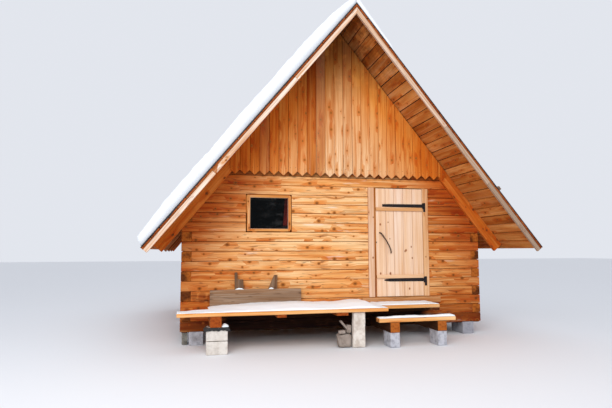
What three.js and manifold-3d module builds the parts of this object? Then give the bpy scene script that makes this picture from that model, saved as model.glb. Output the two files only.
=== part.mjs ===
import * as THREE from "three";
import { mergeVertices } from "three/addons/utils/BufferGeometryUtils.js";
import Module from "manifold-3d";

// A small timber cottage: walls of square-sawn logs lapped at the corners, a steep boarded roof
// that overhangs the front by a metre and carries settled snow, and a plank porch on blocks before
// a boarded door.
// Millimetres, +Z up. The origin is on the ground under the middle of the roof, and the front faces -Y.

const wasm = await Module();
wasm.setup();

// Walls
const logSize = 150;
const wallWidth = 5000;
const wallLength = 5000;
const wallBottom = 200;
const sideCourses = 12;
const doorHeadCourse = 15;
const gableWallCourses = 17;
const baseCourses = 3;
const grooveDepth = 8;
const grooveHalf = 6;

// Roof
const roofPitch = THREE.MathUtils.degToRad(50.6);
const roofHalfSpan = 3000;
const eaveHeight = 1455;
const frontOverhang = 1000;
const rearOverhang = 500;
const feltThickness = 5;
const boardThickness = 25;
const rafterDepth = 175;
const rafterWidth = 50;
const rafterTailShort = 90;
const vergeDepth = 75;
const vergeWidth = 40;
const fitGap = 0.3;
const innerRafters = 3;

// Snow on the roof: how high it stands over the ridge, and its face as (distance down the slope, depth)
const snowCrest = 140;
const leftSnow = [
  [140, 125],
  [450, 165],
  [1000, 190],
  [3000, 180],
  [4150, 160],
  [4570, 120],
  [4680, 30],
];
const rightSnow = [
  [250, 65],
  [800, 45],
  [900, 15],
];

// Gables
const gableBoardWidth = 153;
const gableBoards = 24;
const gableLeft = -1785;
const gableBottom = 2600;
const gablePointRise = 70;
const gableThickness = 25;
const gableRailHeight = 100;
const gableTopDrop = 15;

// Door
const doorLeftPost = [490, 600];
const doorRightPost = [1458, 1558];
const doorPostProud = 20;
const leafClear = 5;
const leafThickness = 25;
const ledgeThickness = 25;
const ledgeInset = 10;
const ledgeLow = [952, 1010];
const ledgeHigh = [2064, 2123];
const strapThickness = 5;
const hinges = {
  low: { middle: 922, half: 28, tipX: 752, tipHalf: 10 },
  high: { middle: 2155, half: 28, tipX: 732, tipHalf: 20 },
};
const strapShoulderX = 845;
const strapShoulderLoss = 4;
const hingeBarrelRadius = 8;
const hingePinRadius = 4;
const hingeBarrelHalf = 20;
const hingeKnuckleEnd = 46;
const hingePlateBelow = 99;
const hingePlateAbove = 52;
const hingePlateWidth = 38;
const hingePlateSetback = 12;
const hingeSides = 24;
const knuckleClear = 1;

// How near two corners are one, and how far a cutter passes the face that it cuts
const weldDistance = 1e-3;
const cutPast = 1;

// The branch on the door: its radius, and its route as (x, distance off the leaf, z)
const branchRadius = 13;
const branchSides = 10;
const branchSteps = 28;
const branchRoute = [
  [683, 0, 1700],
  [688, 24, 1696],
  [771, 50, 1580],
  [822, 55, 1487],
  [850, 48, 1425],
  [868, 24, 1372],
  [873, 0, 1366],
];

// Window
const windowCut = [-1526, -798];
const windowFrameX = [-1512, -820];
const windowPaneX = [-1463, -850];
const windowPaneZ = [1751, 2250];
const windowCourses = [10, 14];
const windowWedge = { width: 60, high: 13, inset: 90 };
const windowFrameDepth = 60;
const glassThickness = 4;
const glassSetback = 28;

// Floor and blocks
const floorThickness = 40;
const joistDepth = 150;
const joistWidth = 75;
const joistCount = 8;
const blockWidth = 210;
const blockLength = 390;
const cornerBlockInset = 135;

// Porch
const deckTop = 566;
const plankThickness = 50;
const deckLeft = -2530;
const outerPlank = { right: 500, front: 800, back: 505 };
const innerPlank = { left: -2100, right: 1480, front: 500 };
const sillBoard = { left: 360, right: 1740, low: 548, high: 638, thick: 40 };
const porchBeam = { left: -2085, right: -1930, front: 790, depth: 150 };
const porchPier = { left: -2135, right: -1842, front: 790, back: 590 };
const porchPost = { left: -50, right: 155, front: 760, back: 660 };
const ledgerDepth = 100;
const ledgerProud = 100;
const cleats = [
  [-1160, -1025],
  [-290, -115],
];
const endCleatWidth = 150;
const cleatDepth = 45;
const stepPlank = { left: 325, right: 1540, front: 880, back: 740, top: 420, thick: 55 };
const stepBearers = [
  [490, 640],
  [1240, 1390],
];
const stepBearerDepth = 150;
const stepBlockLength = 280;

// The bench that stands on its side against the wall, and the (x, z) outlines of its two sawn legs
const benchPlank = { left: -2070, right: -670, high: 822, front: 115, thick: 40 };
const notchedLeg = [
  [-1690, deckTop],
  [-1545, deckTop],
  [-1570, 972],
  [-1650, 972],
  [-1657, 1080],
  [-1700, 1080],
];
const taperedLeg = [
  [-1290, deckTop],
  [-1053, deckTop],
  [-1038, 1033],
  [-1088, 1033],
];
const benchLegThick = 30;

// Places worked out from the sizes above
const halfWidth = wallWidth / 2;
const roofLength = frontOverhang + wallLength + rearOverhang;
const roofFront = -roofLength / 2;
const roofBack = roofLength / 2;
const frontY = roofFront + frontOverhang;
const backY = frontY + wallLength;
const apexHeight = eaveHeight + roofHalfSpan * Math.tan(roofPitch);
const boardsTop = feltThickness + fitGap;
const boardsUnder = boardsTop + boardThickness;
const frameTop = boardsUnder + fitGap;
const floorTop = courseBottom(baseCourses);
const deckUnder = deckTop - plankThickness;
const leafFace = frontY - doorPostProud;
const hingeX = doorRightPost[0];
const hingeY = leafFace - hingeBarrelRadius - fitGap;

const pine = { color: 0xd98a4a, roughness: 0.75, metalness: 0 };
const orangePine = { color: 0xc8702c, roughness: 0.78, metalness: 0 };
const paleBoard = { color: 0xe6c3a3, roughness: 0.72, metalness: 0 };
const weathered = { color: 0x8f7c6c, roughness: 0.9, metalness: 0 };
const darkTimber = { color: 0x55351f, roughness: 0.9, metalness: 0 };
const block = { color: 0xd8d3cb, roughness: 0.95, metalness: 0 };
const felt = { color: 0x201e1f, roughness: 0.9, metalness: 0 };
const iron = { color: 0x1b1a1c, roughness: 0.6, metalness: 0.6 };
const glass = { color: 0x1d1f22, roughness: 0.08, metalness: 0, transparent: true, opacity: 0.6 };
const snow = { color: 0xf0f3f8, roughness: 0.7, metalness: 0 };

const cottage = new THREE.Group();

function addPiece(name, geometry, look) {
  const mesh = new THREE.Mesh(geometry, new THREE.MeshStandardMaterial(look));
  mesh.name = name;
  cottage.add(mesh);
}

// The underside height of log course n, counted from the lowest
function courseBottom(n) {
  return wallBottom + n * logSize;
}

// The height of a line that runs parallel to the slope, this far below the felt's face
function slopeHeight(x, below) {
  return apexHeight - Math.abs(x) * Math.tan(roofPitch) - below / Math.cos(roofPitch);
}

// How far from the middle that line lies at a height
function slopeReach(z, below) {
  return (apexHeight - z - below / Math.cos(roofPitch)) / Math.tan(roofPitch);
}

function withoutRepeats(points) {
  return points.filter((p, i) => {
    const before = points[(i + points.length - 1) % points.length];
    return p[0] !== before[0] || p[1] !== before[1];
  });
}

function extrude(points, depth) {
  const outline = withoutRepeats(points).map(([a, b]) => new THREE.Vector2(a, b));
  const shape = new THREE.Shape(THREE.ShapeUtils.area(outline) < 0 ? outline.reverse() : outline);
  return new THREE.ExtrudeGeometry(shape, { depth, bevelEnabled: false });
}

// An outline of (x, z) points carried along Y
function alongY(points, y0, y1) {
  const turn = new THREE.Matrix4().makeBasis(
    new THREE.Vector3(1, 0, 0),
    new THREE.Vector3(0, 0, 1),
    new THREE.Vector3(0, -1, 0),
  );
  return extrude(points, y1 - y0).applyMatrix4(turn).translate(0, y1, 0);
}

// An outline of (y, z) points carried along X
function alongX(points, x0, x1) {
  const turn = new THREE.Matrix4().makeBasis(
    new THREE.Vector3(0, 1, 0),
    new THREE.Vector3(0, 0, 1),
    new THREE.Vector3(1, 0, 0),
  );
  return extrude(points, x1 - x0).applyMatrix4(turn).translate(x0, 0, 0);
}

function box([x0, x1], [y0, y1], [z0, z1]) {
  const shape = new THREE.BoxGeometry(x1 - x0, y1 - y0, z1 - z0);
  return shape.translate((x0 + x1) / 2, (y0 + y1) / 2, (z0 + z1) / 2);
}

// A geometry as a solid that can be joined and cut
function solid(geometry) {
  const bare = geometry.clone();
  bare.deleteAttribute("normal");
  bare.deleteAttribute("uv");
  const merged = mergeVertices(bare, weldDistance);
  return new wasm.Manifold(
    new wasm.Mesh({
      numProp: 3,
      vertProperties: merged.attributes.position.array,
      triVerts: new Uint32Array(merged.index.array),
    }),
  );
}

function geometryOf(made) {
  const { vertProperties, triVerts, numProp } = made.getMesh();
  const points = new Float32Array((vertProperties.length / numProp) * 3);
  for (let i = 0; i < points.length / 3; i++) {
    points.set(vertProperties.subarray(i * numProp, i * numProp + 3), i * 3);
  }
  const geometry = new THREE.BufferGeometry();
  geometry.setAttribute("position", new THREE.BufferAttribute(points, 3));
  geometry.setIndex(new THREE.BufferAttribute(new Uint32Array(triVerts), 1));
  geometry.computeVertexNormals();
  return geometry;
}

function joined(...parts) {
  return geometryOf(parts.map(solid).reduce((whole, part) => whole.add(part)));
}

// Everything that lies under the roof frame's upper face
function underRoof(below) {
  const wide = roofHalfSpan;
  return solid(
    alongY(
      [
        [-wide, 0],
        [wide, 0],
        [wide, slopeHeight(wide, below)],
        [0, slopeHeight(0, below)],
        [-wide, slopeHeight(wide, below)],
      ],
      roofFront,
      roofBack,
    ),
  );
}

// The stepped end of a stack of logs, from its lowest course up
function steppedEnd(first, last, reach) {
  const points = [];
  for (let n = first; n <= last; n++) {
    points.push([reach(n), courseBottom(n)], [reach(n), courseBottom(n + 1)]);
  }
  return points;
}

function stackOutline(first, last, leftReach, rightReach) {
  return [
    ...steppedEnd(first, last, rightReach),
    ...steppedEnd(first, last, leftReach).reverse(),
  ];
}

// At a corner the even logs of the front and back walls run through, and the odd ones stop at the side wall
function cornerReach(n) {
  return n % 2 === 1 && n < sideCourses ? halfWidth - logSize : halfWidth;
}

const leftCorner = (n) => -cornerReach(n);
const rightCorner = (n) => cornerReach(n);

// The V joint between two courses, on one face of a wall that runs along X
function jointAlongX(n, faceY) {
  const z = courseBottom(n);
  const outline = [
    [faceY - grooveDepth, z],
    [faceY, z - grooveHalf],
    [faceY + grooveDepth, z],
    [faceY, z + grooveHalf],
  ];
  return solid(alongX(outline, -halfWidth, halfWidth));
}

function jointAlongY(n, faceX) {
  const z = courseBottom(n);
  const outline = [
    [faceX - grooveDepth, z],
    [faceX, z - grooveHalf],
    [faceX + grooveDepth, z],
    [faceX, z + grooveHalf],
  ];
  return solid(alongY(outline, frontY + logSize, backY - logSize));
}

// A stack of logs that runs along X, with its outer face at y0 or y1
function crossWall(first, last, leftReach, rightReach, y0, openings = []) {
  const outline = stackOutline(first, last, leftReach, rightReach);
  let made = solid(alongY(outline, y0, y0 + logSize));
  for (let n = first + 1; n <= last; n++) {
    made = made.subtract(jointAlongX(n, y0)).subtract(jointAlongX(n, y0 + logSize));
  }
  for (const cut of openings) {
    made = made.subtract(solid(cut));
  }
  return geometryOf(made.intersect(underRoof(frameTop)));
}

function frontWall() {
  const windowHole = box(
    windowCut,
    [frontY - logSize, frontY + 2 * logSize],
    [courseBottom(windowCourses[0]), courseBottom(windowCourses[1])],
  );
  const toLeftPost = () => doorLeftPost[0];
  const toRightPost = () => doorRightPost[1];
  addPiece("front_wall_base", crossWall(0, baseCourses - 1, leftCorner, rightCorner, frontY), pine);
  addPiece(
    "front_wall_left",
    crossWall(baseCourses, doorHeadCourse - 1, leftCorner, toLeftPost, frontY, [windowHole]),
    pine,
  );
  addPiece(
    "front_wall_right",
    crossWall(baseCourses, doorHeadCourse - 1, toRightPost, rightCorner, frontY),
    pine,
  );
  addPiece(
    "front_wall_top",
    crossWall(doorHeadCourse, gableWallCourses - 1, leftCorner, rightCorner, frontY),
    pine,
  );
}

function backWall() {
  const logs = crossWall(0, gableWallCourses - 1, leftCorner, rightCorner, backY - logSize);
  addPiece("back_wall", logs, pine);
}

// The middle of each rafter along Y: one outside each gable, and the rest evenly between
function rafterPlaces() {
  const first = frontY - rafterWidth / 2;
  const last = backY + rafterWidth / 2;
  const steps = innerRafters + 1;
  return Array.from({ length: steps + 1 }, (_, i) => first + ((last - first) * i) / steps);
}

// A side wall's top log is cut through where each inner rafter sits on the log below
function sideWall(name, side) {
  const topCourse = sideCourses - 1;
  const reachBack = (n) => (n % 2 === 1 ? backY : backY - logSize);
  const reachFront = (n) => (n % 2 === 1 ? frontY : frontY + logSize);
  const outer = side * halfWidth;
  const inner = side * (halfWidth - logSize);
  const outline = stackOutline(0, topCourse, reachFront, reachBack);
  let made = solid(alongX(outline, Math.min(outer, inner), Math.max(outer, inner)));
  for (const y of rafterPlaces().slice(1, -1)) {
    const half = rafterWidth / 2 + fitGap;
    const slot = box(
      [-halfWidth - logSize, halfWidth + logSize],
      [y - half, y + half],
      [courseBottom(topCourse), courseBottom(topCourse + 2)],
    );
    made = made.subtract(solid(slot));
  }
  for (let n = 1; n <= topCourse; n++) {
    made = made.subtract(jointAlongY(n, outer)).subtract(jointAlongY(n, inner));
  }
  addPiece(name, geometryOf(made), pine);
}

// A strip that lies along one slope, between two depths below the felt's face, from the eave to the ridge
function slopeStrip(side, upper, lower, short = 0) {
  const out = roofHalfSpan - short * Math.cos(roofPitch);
  const eave = (below) => {
    const x = out - below * Math.sin(roofPitch);
    return [side * x, slopeHeight(out, 0) - below * Math.cos(roofPitch)];
  };
  return [
    eave(upper),
    [0, slopeHeight(0, upper)],
    [0, slopeHeight(0, lower)],
    eave(lower),
  ];
}

function gableRafter(name, side, y) {
  const outline = slopeStrip(side, frameTop, frameTop + rafterDepth, rafterTailShort);
  addPiece(name, alongY(outline, y - rafterWidth / 2, y + rafterWidth / 2), orangePine);
}

// An inner rafter has a birdsmouth that sits on the side wall
function innerRafter(name, side, y) {
  const seat = courseBottom(sideCourses - 1);
  const under = frameTop + rafterDepth;
  const seatEnd = slopeReach(seat, under);
  const [upperEave, ridgeTop, ridgeUnder, lowerEave] = slopeStrip(
    side,
    frameTop,
    under,
    rafterTailShort,
  );
  const outline = [
    upperEave,
    ridgeTop,
    ridgeUnder,
    [side * seatEnd, seat],
    [side * (halfWidth + fitGap), seat],
    [side * (halfWidth + fitGap), slopeHeight(halfWidth + fitGap, under)],
    lowerEave,
  ];
  addPiece(name, alongY(outline, y - rafterWidth / 2, y + rafterWidth / 2), orangePine);
}

function roofFrame() {
  const places = rafterPlaces();
  for (const [word, side] of [
    ["left", -1],
    ["right", 1],
  ]) {
    places.forEach((y, i) => {
      const name = `rafter_${word}_${i + 1}`;
      if (i === 0 || i === places.length - 1) {
        gableRafter(name, side, y);
      } else {
        innerRafter(name, side, y);
      }
    });
    const boards = slopeStrip(side, boardsTop, boardsUnder);
    addPiece(`roof_boards_${word}`, alongY(boards, roofFront, roofBack), orangePine);
    const verge = slopeStrip(side, frameTop, frameTop + vergeDepth);
    addPiece(`front_verge_${word}`, alongY(verge, roofFront, roofFront + vergeWidth), paleBoard);
    addPiece(`back_verge_${word}`, alongY(verge, roofBack - vergeWidth, roofBack), paleBoard);
  }
}

// One sheet folded over the ridge
function roofFelt() {
  const left = slopeStrip(-1, 0, feltThickness);
  const right = slopeStrip(1, 0, feltThickness);
  const outline = [left[0], left[1], right[0], right[3], right[2], left[3]];
  addPiece("roof_felt", alongY(outline, roofFront, roofBack), felt);
}

// A point of a slope's cross-section, by its distance down from the ridge and off the felt
function offSlope(side, down, off) {
  const x = down * Math.cos(roofPitch) + off * Math.sin(roofPitch);
  return [side * x, apexHeight - down * Math.sin(roofPitch) + off * Math.cos(roofPitch)];
}

// The two covers of snow meet over the ridge
function roofSnow() {
  for (const [word, side, face] of [
    ["left", -1, leftSnow],
    ["right", 1, rightSnow],
  ]) {
    const [end] = face.at(-1);
    const outline = [
      [0, apexHeight + fitGap / Math.cos(roofPitch)],
      [0, apexHeight + snowCrest],
      ...face.map(([down, off]) => offSlope(side, down, off)),
      offSlope(side, end, fitGap),
    ];
    addPiece(`roof_snow_${word}`, alongY(outline, roofFront, roofBack), snow);
  }
}

// Upright boards with pointed feet, nailed over the gable rafters and a rail between them
function gable(name, rafterFace, outward) {
  const gableRight = gableLeft + gableBoards * gableBoardWidth;
  const shoulder = gableBottom + gablePointRise;
  const top = frameTop + gableTopDrop;
  const outline = [[gableLeft, shoulder]];
  for (let i = 0; i < gableBoards; i++) {
    const left = gableLeft + i * gableBoardWidth;
    outline.push([left + gableBoardWidth / 2, gableBottom], [left + gableBoardWidth, shoulder]);
  }
  for (const x of [gableRight, 0, gableLeft]) {
    outline.push([x, slopeHeight(x, top)]);
  }
  const face = rafterFace + outward * gableThickness;
  const boards = alongY(outline, Math.min(rafterFace, face), Math.max(rafterFace, face));
  const railTop = shoulder + gableRailHeight;
  const railHalf = slopeReach(railTop, frameTop + rafterDepth + fitGap);
  const railBack = rafterFace - outward * rafterWidth;
  const rail = box(
    [-railHalf, railHalf],
    [Math.min(rafterFace, railBack), Math.max(rafterFace, railBack)],
    [shoulder, railTop],
  );
  addPiece(name, joined(boards, rail), orangePine);
}

function floor() {
  const half = halfWidth - logSize;
  const inside = [frontY + logSize, backY - logSize];
  const under = floorTop - floorThickness;
  const parts = [box([-half, half], inside, [under, floorTop])];
  for (let i = 0; i < joistCount; i++) {
    const y = inside[0] + ((i + 0.5) * (inside[1] - inside[0])) / joistCount;
    const across = [y - joistWidth / 2, y + joistWidth / 2];
    parts.push(box([-half, half], across, [under - joistDepth, under]));
  }
  addPiece("floor", joined(...parts), pine);
}

function foundationBlocks() {
  const edge = halfWidth - cornerBlockInset;
  const middleY = (frontY + backY) / 2;
  for (const [word, side] of [
    ["left", -1],
    ["right", 1],
  ]) {
    const corner = [side * edge, side * (edge - blockWidth)].sort((a, b) => a - b);
    const flush = [side * halfWidth, side * (halfWidth - blockWidth)].sort((a, b) => a - b);
    const high = [0, wallBottom];
    addPiece(`block_front_${word}`, box(corner, [frontY, frontY + blockLength], high), block);
    addPiece(
      `block_middle_${word}`,
      box(flush, [middleY - blockLength / 2, middleY + blockLength / 2], high),
      block,
    );
    addPiece(`block_back_${word}`, box(corner, [backY - blockLength, backY], high), block);
  }
}

function porchDeck() {
  const deck = [deckUnder, deckTop];
  const outer = [frontY - outerPlank.front, frontY - outerPlank.back];
  const inner = [frontY - innerPlank.front, frontY - sillBoard.thick - leafClear];
  addPiece("porch_plank_outer", box([deckLeft, outerPlank.right], outer, deck), pine);
  addPiece("porch_plank_inner", box([innerPlank.left, innerPlank.right], inner, deck), pine);
  addPiece(
    "door_sill_board",
    box(
      [sillBoard.left, sillBoard.right],
      [frontY - sillBoard.thick, frontY],
      [sillBoard.low, sillBoard.high],
    ),
    weathered,
  );
}

// The beam on its pier, the post, and the ledger on the wall with three cleats that carry the planks
function porchSupports() {
  const beamLow = deckUnder - porchBeam.depth;
  addPiece(
    "porch_beam",
    box([porchBeam.left, porchBeam.right], [frontY - porchBeam.front, frontY], [beamLow, deckUnder]),
    orangePine,
  );
  const pier = [frontY - porchPier.front, frontY - porchPier.back];
  addPiece("porch_pier", box([porchPier.left, porchPier.right], pier, [0, beamLow]), block);
  const post = [frontY - porchPost.front, frontY - porchPost.back];
  addPiece("porch_post", box([porchPost.left, porchPost.right], post, [0, deckUnder]), block);
  const ledger = box(
    [porchBeam.right, innerPlank.right],
    [frontY - ledgerProud, frontY],
    [deckUnder - ledgerDepth, deckUnder],
  );
  const endCleat = box(
    [innerPlank.right - endCleatWidth, innerPlank.right],
    [frontY - innerPlank.front, frontY - ledgerProud],
    [deckUnder - cleatDepth, deckUnder],
  );
  const run = [frontY - porchBeam.front, frontY - ledgerProud];
  const longCleats = cleats.map((across) => box(across, run, [deckUnder - cleatDepth, deckUnder]));
  addPiece("porch_ledger", joined(ledger, endCleat, ...longCleats), darkTimber);
}

function porchStep() {
  const run = [frontY - stepPlank.front, frontY - stepPlank.back];
  const blockRun = [run[0], run[0] + stepBlockLength];
  const under = stepPlank.top - stepPlank.thick;
  addPiece("step_plank", box([stepPlank.left, stepPlank.right], run, [under, stepPlank.top]), pine);
  stepBearers.forEach((across, i) => {
    const low = under - stepBearerDepth;
    const bearer = [run[0], frontY];
    addPiece(`step_bearer_${i + 1}`, box(across, bearer, [low, under]), orangePine);
    addPiece(`step_block_${i + 1}`, box(across, blockRun, [0, low]), block);
  });
}

// A plank with its two legs nailed behind it
function leaningBench() {
  const face = frontY - benchPlank.front;
  const back = face + benchPlank.thick;
  const parts = [box([benchPlank.left, benchPlank.right], [face, back], [deckTop, benchPlank.high])];
  for (const leg of [notchedLeg, taperedLeg]) {
    parts.push(alongY(leg, back, back + benchLegThick));
  }
  addPiece("leaning_bench", joined(...parts), weathered);
}

function frameRing([x0, x1], [z0, z1], [hx0, hx1], [hz0, hz1], y0, y1) {
  const whole = solid(box([x0, x1], [y0, y1], [z0, z1]));
  const hole = solid(box([hx0, hx1], [y0 - cutPast, y1 + cutPast], [hz0, hz1]));
  return geometryOf(whole.subtract(hole));
}

// The frame is a little smaller than its hole and stands on two wedges
function windowSet() {
  const holeBottom = courseBottom(windowCourses[0]);
  const holeTop = courseBottom(windowCourses[1]);
  const { width, high, inset } = windowWedge;
  const back = frontY + windowFrameDepth;
  const frameZ = [holeBottom + high, holeTop - high];
  let frame = frameRing(windowFrameX, frameZ, windowPaneX, windowPaneZ, frontY, back);
  for (const left of [windowFrameX[0] + inset, windowFrameX[1] - inset - width]) {
    frame = joined(frame, box([left, left + width], [frontY, back], [holeBottom, holeBottom + high]));
  }
  addPiece("window_frame", frame, paleBoard);
  const pane = frontY + glassSetback;
  addPiece(
    "window_glass",
    box(
      [windowPaneX[0] + fitGap, windowPaneX[1] - fitGap],
      [pane, pane + glassThickness],
      [windowPaneZ[0] + fitGap, windowPaneZ[1] - fitGap],
    ),
    glass,
  );
}

function doorFrame() {
  const deep = [frontY - doorPostProud, frontY + logSize];
  const high = [floorTop, courseBottom(doorHeadCourse)];
  addPiece("door_post_left", box(doorLeftPost, deep, high), paleBoard);
  addPiece("door_post_right", box(doorRightPost, deep, high), paleBoard);
}

function doorLeaf() {
  const across = [doorLeftPost[1] + leafClear, doorRightPost[0] - leafClear];
  const high = [floorTop + leafClear, courseBottom(doorHeadCourse) - leafClear * 2];
  addPiece("door_boards", box(across, [leafFace, leafFace + leafThickness], high), paleBoard);
  const inset = [across[0] + ledgeInset, across[1] - ledgeInset];
  const proud = [leafFace - ledgeThickness, leafFace];
  addPiece("door_ledge_low", box(inset, proud, ledgeLow), paleBoard);
  addPiece("door_ledge_high", box(inset, proud, ledgeHigh), paleBoard);
}

function uprightRod(radius, z0, z1) {
  const rod = new THREE.CylinderGeometry(radius, radius, z1 - z0, hingeSides);
  return rod.rotateX(Math.PI / 2).translate(hingeX, hingeY, (z0 + z1) / 2);
}

// A tapered strap on the leaf, rolled round the pin that the plate on the post holds
function hinge(word, { middle, half, tipX, tipHalf }) {
  const neckX = hingeX - hingePlateSetback;
  const outline = [
    [tipX, middle - tipHalf],
    [strapShoulderX, middle - half + strapShoulderLoss],
    [neckX, middle - half],
    [neckX, middle - hingeBarrelHalf],
    [hingeX, middle - hingeBarrelHalf],
    [hingeX, middle + hingeBarrelHalf],
    [neckX, middle + hingeBarrelHalf],
    [neckX, middle + half],
    [strapShoulderX, middle + half - strapShoulderLoss],
    [tipX, middle + tipHalf],
  ];
  const strapFace = leafFace - strapThickness;
  const strap = solid(alongY(outline, strapFace, leafFace));
  const barrel = solid(
    uprightRod(hingeBarrelRadius, middle - hingeBarrelHalf, middle + hingeBarrelHalf),
  );
  const bore = solid(
    uprightRod(hingePinRadius + fitGap, middle - hingeKnuckleEnd, middle + hingeKnuckleEnd),
  );
  addPiece(`door_strap_${word}`, geometryOf(strap.add(barrel).subtract(bore)), iron);

  const plateX = hingeX + hingePlateSetback;
  let plate = solid(
    box(
      [plateX, plateX + hingePlateWidth],
      [strapFace, leafFace],
      [middle - hingePlateBelow, middle + hingePlateAbove],
    ),
  );
  for (const way of [-1, 1]) {
    const ends = [middle + way * (hingeBarrelHalf + knuckleClear), middle + way * hingeKnuckleEnd];
    const [low, high] = ends.sort((a, b) => a - b);
    plate = plate
      .add(solid(box([hingeX, plateX], [strapFace, leafFace], [low, high])))
      .add(solid(uprightRod(hingeBarrelRadius, low, high)));
  }
  const pin = uprightRod(hingePinRadius, middle - hingeKnuckleEnd, middle + hingeKnuckleEnd);
  addPiece(`hinge_plate_${word}`, geometryOf(plate.add(solid(pin))), iron);
}

// A crooked branch that stands off the leaf between its two ends, which are cut flat where they meet it
function doorHandle() {
  const face = leafFace - fitGap;
  const route = new THREE.CatmullRomCurve3(
    branchRoute.map(([x, off, z]) => new THREE.Vector3(x, face - off, z)),
  );
  const section = Array.from({ length: branchSides }, (_, i) => {
    const turn = (2 * Math.PI * i) / branchSides;
    return new THREE.Vector2(branchRadius * Math.cos(turn), branchRadius * Math.sin(turn));
  });
  const tube = new THREE.ExtrudeGeometry(new THREE.Shape(section), {
    steps: branchSteps,
    extrudePath: route,
    bevelEnabled: false,
  });
  const beforeLeaf = box([doorLeftPost[1], hingeX], [roofFront, face], [floorTop, gableBottom]);
  addPiece("door_handle", geometryOf(solid(tube).intersect(solid(beforeLeaf))), weathered);
}

frontWall();
backWall();
sideWall("left_wall", -1);
sideWall("right_wall", 1);
roofFrame();
roofFelt();
roofSnow();
gable("front_gable", frontY - rafterWidth, -1);
gable("back_gable", backY + rafterWidth, 1);
floor();
foundationBlocks();
porchDeck();
porchSupports();
porchStep();
leaningBench();
windowSet();
doorFrame();
doorLeaf();
hinge("low", hinges.low);
hinge("high", hinges.high);
doorHandle();

export default cottage;
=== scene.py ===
import math
from random import Random

import bmesh
import bpy
from mathutils import Matrix, Vector, noise


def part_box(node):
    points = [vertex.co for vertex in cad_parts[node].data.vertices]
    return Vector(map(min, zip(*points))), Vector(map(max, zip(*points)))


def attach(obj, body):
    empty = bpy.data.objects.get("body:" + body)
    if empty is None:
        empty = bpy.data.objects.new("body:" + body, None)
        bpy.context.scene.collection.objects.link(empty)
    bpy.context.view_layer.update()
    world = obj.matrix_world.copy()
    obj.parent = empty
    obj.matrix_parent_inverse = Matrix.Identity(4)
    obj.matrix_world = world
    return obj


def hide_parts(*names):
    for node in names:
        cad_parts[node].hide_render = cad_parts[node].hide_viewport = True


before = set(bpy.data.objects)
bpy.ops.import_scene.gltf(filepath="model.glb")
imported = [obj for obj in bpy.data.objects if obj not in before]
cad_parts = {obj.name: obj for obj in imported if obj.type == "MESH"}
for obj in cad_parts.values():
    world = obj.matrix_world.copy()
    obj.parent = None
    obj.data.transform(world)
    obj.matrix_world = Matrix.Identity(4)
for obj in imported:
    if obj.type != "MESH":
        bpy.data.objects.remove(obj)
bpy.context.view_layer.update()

# A small timber cottage in winter. Metres, +Z up, front towards -Y, origin on the ground under
# the middle of the roof.

# The unevenness of timber, blocks and snow comes out the same each time.
noise.seed_set(1)

# Walls
LOG = 0.15
WALL_BOTTOM = 0.2
HALF_WIDTH = 2.5
FRONT_Y = -2.25
BACK_Y = 2.75
SIDE_COURSES = 12
BASE_COURSES = 3
DOOR_HEAD_COURSE = 15
GABLE_COURSES = 17
WINDOW_HOLE = (-1.526, -0.798)
WINDOW_COURSES = (10, 14)
DOOR_HOLE = (0.49, 1.558)

# Roof
PITCH = math.radians(50.6)
DOWN = math.cos(PITCH)
RISE = math.sin(PITCH)
ROOF_HALF = 3.0
EAVE_Z = 1.455
APEX_Z = EAVE_Z + ROOF_HALF * math.tan(PITCH)
ROOF_FRONT = -3.25
ROOF_BACK = 3.25
SLOPE = ROOF_HALF / DOWN
FELT = 0.005
FIT = 0.0003
ROOF_BOARD = 0.025
FRAME_TOP = 2 * FIT + FELT + ROOF_BOARD
RAFTERS = 5
RAFTER_DEPTH = 0.175
RAFTER_WIDTH = 0.05
RAFTER_TAIL = 0.09
VERGE_DEPTH = 0.075
VERGE_WIDTH = 0.04
# The border of each strip of felt, as (upper, lower) distances down the slope.
FELT_LAPS = [(-0.02, 0.34), (0.9, 1.05), (1.85, 2.0), (2.8, 2.95), (3.75, 3.9)]

# Gables
GABLE_BOARD = 0.153
GABLE_LEFT = -1.785
GABLE_FOOT = 2.6
GABLE_SHOULDER = 2.67
GABLE_THICK = 0.025
GABLE_DROP = 0.015
RAIL_TOP = 2.77

# Porch
DECK_TOP = 0.566
BENCH_PLANK_TOP = 0.822

LEFT, RIGHT = -1, 1
SIDES = ((LEFT, "left"), (RIGHT, "right"))
ALONG_X, ALONG_Y, ALONG_Z = 0, 1, 2


# Unevenness


def somewhere(luck, far):
    """A chance place in the noise, so that no two pieces are worn alike."""
    return Vector((luck.uniform(0, far), luck.uniform(0, far), luck.uniform(0, far)))


def bumps(x, y, scale, seed):
    """Smooth unevenness, from about -1 to 1."""
    return noise.noise(Vector((x * scale, y * scale, seed)))


def ripples(x, y, waves):
    """Bumps of several sizes together, as (height, scale, seed)."""
    return sum(height * bumps(x, y, scale, seed) for height, scale, seed in waves)


def clamped(value, low=0.0):
    """The value, held between a low mark and 1."""
    return min(max(value, low), 1.0)


def between(value, marks):
    """A value read off straight lines between marks of (place, amount)."""
    if value <= marks[0][0]:
        return marks[0][1]
    for (a, low), (b, high) in zip(marks, marks[1:]):
        if value <= b:
            return low + (high - low) * (value - a) / (b - a)
    return marks[-1][1]


# Shaping

# Edges that turn by more than this angle are eased.
SHARP = 0.5
# A timber bends once in this length.
BEND_SPACING = 0.45
BEND_SCALE = 1.6
# A face that looks this squarely along a timber is a sawn end.
END_FACING = 0.75
LIMB_SIDES = 12


def block_between(low, high):
    """A sharp-edged block between two corners."""
    made = bmesh.new()
    body = Matrix.Translation((low + high) / 2) @ Matrix.Diagonal((*(high - low), 1.0))
    bmesh.ops.create_cube(made, size=1.0, matrix=body)
    return made


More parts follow.
